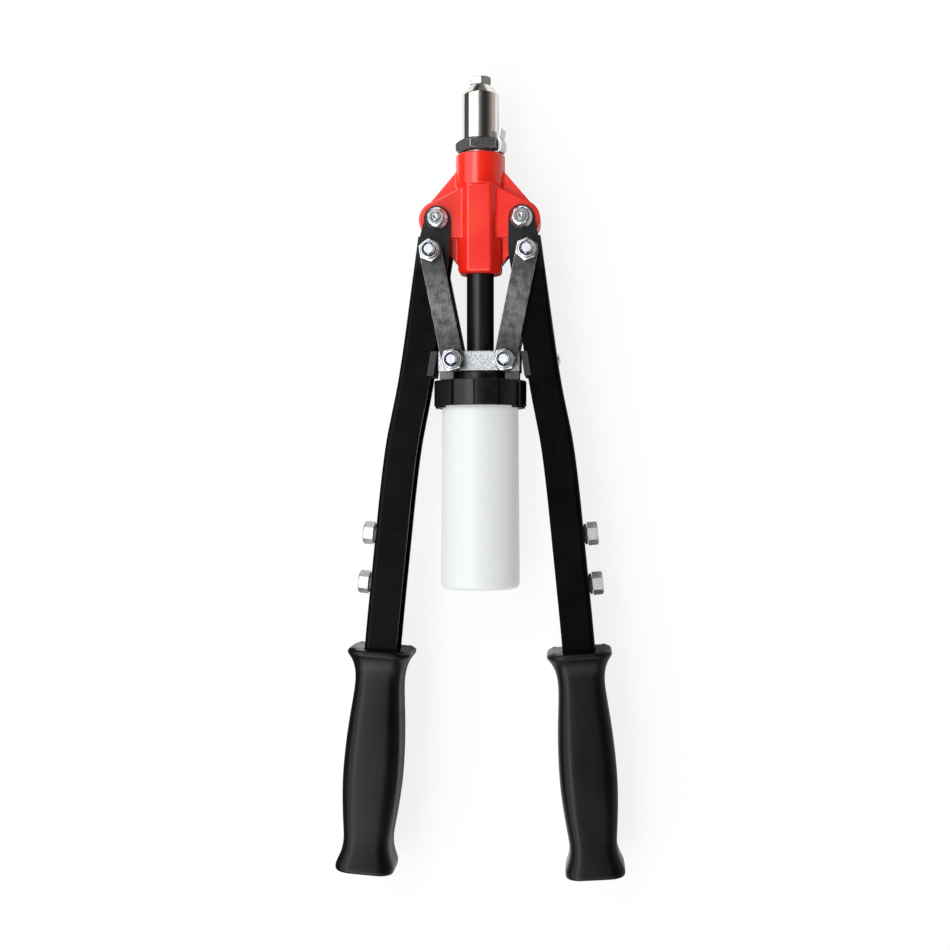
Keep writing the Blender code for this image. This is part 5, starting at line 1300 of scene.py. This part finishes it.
def inner_pieces():
    """Pieces hidden inside keep their solids and get the finish of their metal."""
    looks = ((BLACK_OXIDE, ["jaw_housing"]), (PAD_RUBBER, ["seal_ring"]), (BARE_STEEL, ["jaw_pusher"]),
             (BRIGHT_ZINC, ["cap_nut", "pin_spacer_left", "pin_spacer_right"]),
             (POLISHED_STEEL, ["jaw_spring", "jaw_1", "jaw_2", "jaw_3"]))
    for look, nodes in looks:
        for node in nodes:
            for material_slot in frame["nodes"][node].material_slots:
                material_slot.material = look
    rear_end, front_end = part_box("jaw_spring")
    pressed = joint_named("jaws_back")["range_m"][1] / (front_end.y - rear_end.y)
    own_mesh(frame["nodes"]["jaw_spring"], "jaws_back", axis=(0, 1, 0),
              anchor=(0, rear_end.y, ORIGIN.z), keep=1 - pressed)


# Studio: the sky's shades run from the lit panel on the left over to the warm wall on the right
SKY_STRENGTH = 4.0
STRIP_STRENGTH = 1.2
CORE = 1.0
PANEL = 0.40
GLOW = 0.15
FADE = 0.07
DIM = (0.0225, 0.0225, 0.0215)
DARK = (0.008, 0.008, 0.0072)
SHADE = (0.020, 0.018, 0.016)
DUSK = (0.050, 0.044, 0.039)
WARM = (0.140, 0.130, 0.120)
SKY_STOPS = ((0.0, DIM), (0.095, DIM), (0.105, PANEL), (0.31, PANEL), (0.33, CORE), (0.422, CORE),
             (0.445, GLOW), (0.495, FADE), (0.56, DIM), (0.64, DARK), (0.73, DARK), (0.79, SHADE),
             (0.87, DUSK), (1.0, WARM))
FLOOR_DROP = 0.0002
FLOOR_SIZE = 0.9
FLOOR_GLOW = 0.85
MIRRORED_FROM = -0.085
MIRRORED_TO = 0.095
CAMERA_TARGET = Vector((-0.0035, 0, 0.0299))
CAMERA_DISTANCE = 0.85
CAMERA_LEAN = radians(4.5)
CAMERA_FIELD = radians(39.9)


def studio_light():
    """Sky with a bright-cored panel on the left, a low strip in front and a warm wall; white to the camera."""
    world = bpy.data.worlds.new("studio")
    bpy.context.scene.world = world
    world.use_nodes = True
    net = Net(world.node_tree)
    direction = net.node("ShaderNodeTexCoord", output="Generated")
    across, along, height = (net.axis(name, direction) for name in "XYZ")
    tilt = net.math("ARCTAN2", across, height)
    panel = net.node("ShaderNodeValToRGB", {"Fac": tilt * (1 / pi) + 0.5}, stops=SKY_STOPS)
    reach = net.spread(net.math("ABSOLUTE", along), 0.62, 0.90, 1.0, 0.35)
    sky = net.node("ShaderNodeBackground", {"Color": panel, "Strength": reach * SKY_STRENGTH})
    band = net.spread(along, -0.50, -0.56) * net.spread(along, -0.92, -0.86)
    band = band * net.spread(net.math("ABSOLUTE", tilt), 1.0, 0.8)
    strip = net.node("ShaderNodeBackground", {"Color": 1, "Strength": band * STRIP_STRENGTH})
    lights = net.node("ShaderNodeAddShader", {0: sky, 1: strip})
    white = net.node("ShaderNodeBackground", {"Color": 1, "Strength": 1.0})
    seen = net.node("ShaderNodeMixShader", {0: net.ray("Camera"), 1: lights, 2: white})
    net.node("ShaderNodeOutputWorld", {"Surface": seen})


def studio_floor():
    """White floor that keeps a soft shadow; mirrored rays meet only the strip of it beside the tool."""
    deselect()
    bpy.ops.mesh.primitive_plane_add(size=FLOOR_SIZE, location=(0, 0, -FLOOR_DROP))
    floor = named("floor")
    material = bpy.data.materials.new("floor_white")
    material.use_nodes = True
    net = Net(material.node_tree)
    lit = net.node("ShaderNodeBsdfDiffuse", {"Color": 0.97})
    glow = net.node("ShaderNodeEmission", {"Color": 1, "Strength": 1.0})
    seen = net.ray("Camera") + net.ray("Transmission")
    white = net.node("ShaderNodeMixShader", {0: seen * FLOOR_GLOW, 1: lit, 2: glow})
    across = net.axis("X")
    left = net.spread(across, MIRRORED_FROM, MIRRORED_FROM - 0.01)
    right = net.spread(across, MIRRORED_TO, MIRRORED_TO + 0.02)
    clear = net.node("ShaderNodeBsdfTransparent")
    mirrored_away = net.ray("Glossy") * (left + right)
    surface = net.node("ShaderNodeMixShader", {0: mirrored_away, 1: white, 2: clear})
    net.node("ShaderNodeOutputMaterial", {"Surface": surface})
    floor.data.materials.append(material)


def studio_camera():
    deselect()
    aim = Vector((sin(CAMERA_LEAN), 0, cos(CAMERA_LEAN)))
    bpy.ops.object.camera_add(location=CAMERA_TARGET + aim * CAMERA_DISTANCE, rotation=(0, CAMERA_LEAN, 0))
    camera = bpy.context.object
    camera.data.lens = camera.data.sensor_width / 2 / tan(CAMERA_FIELD / 2)
    camera.data.clip_start = 0.05
    bpy.context.scene.camera = camera


def build():
    for make in (head_casting, front_sleeve, lock_washer, lock_nut, fitted_nosepiece, pins_and_links,
                 crosshead, draw_tube, bottle_cap, collecting_bottle, arms, inner_pieces,
                 studio_light, studio_floor, studio_camera):
        make()
    bpy.context.scene.view_settings.view_transform = "Standard"
    deselect()


build()
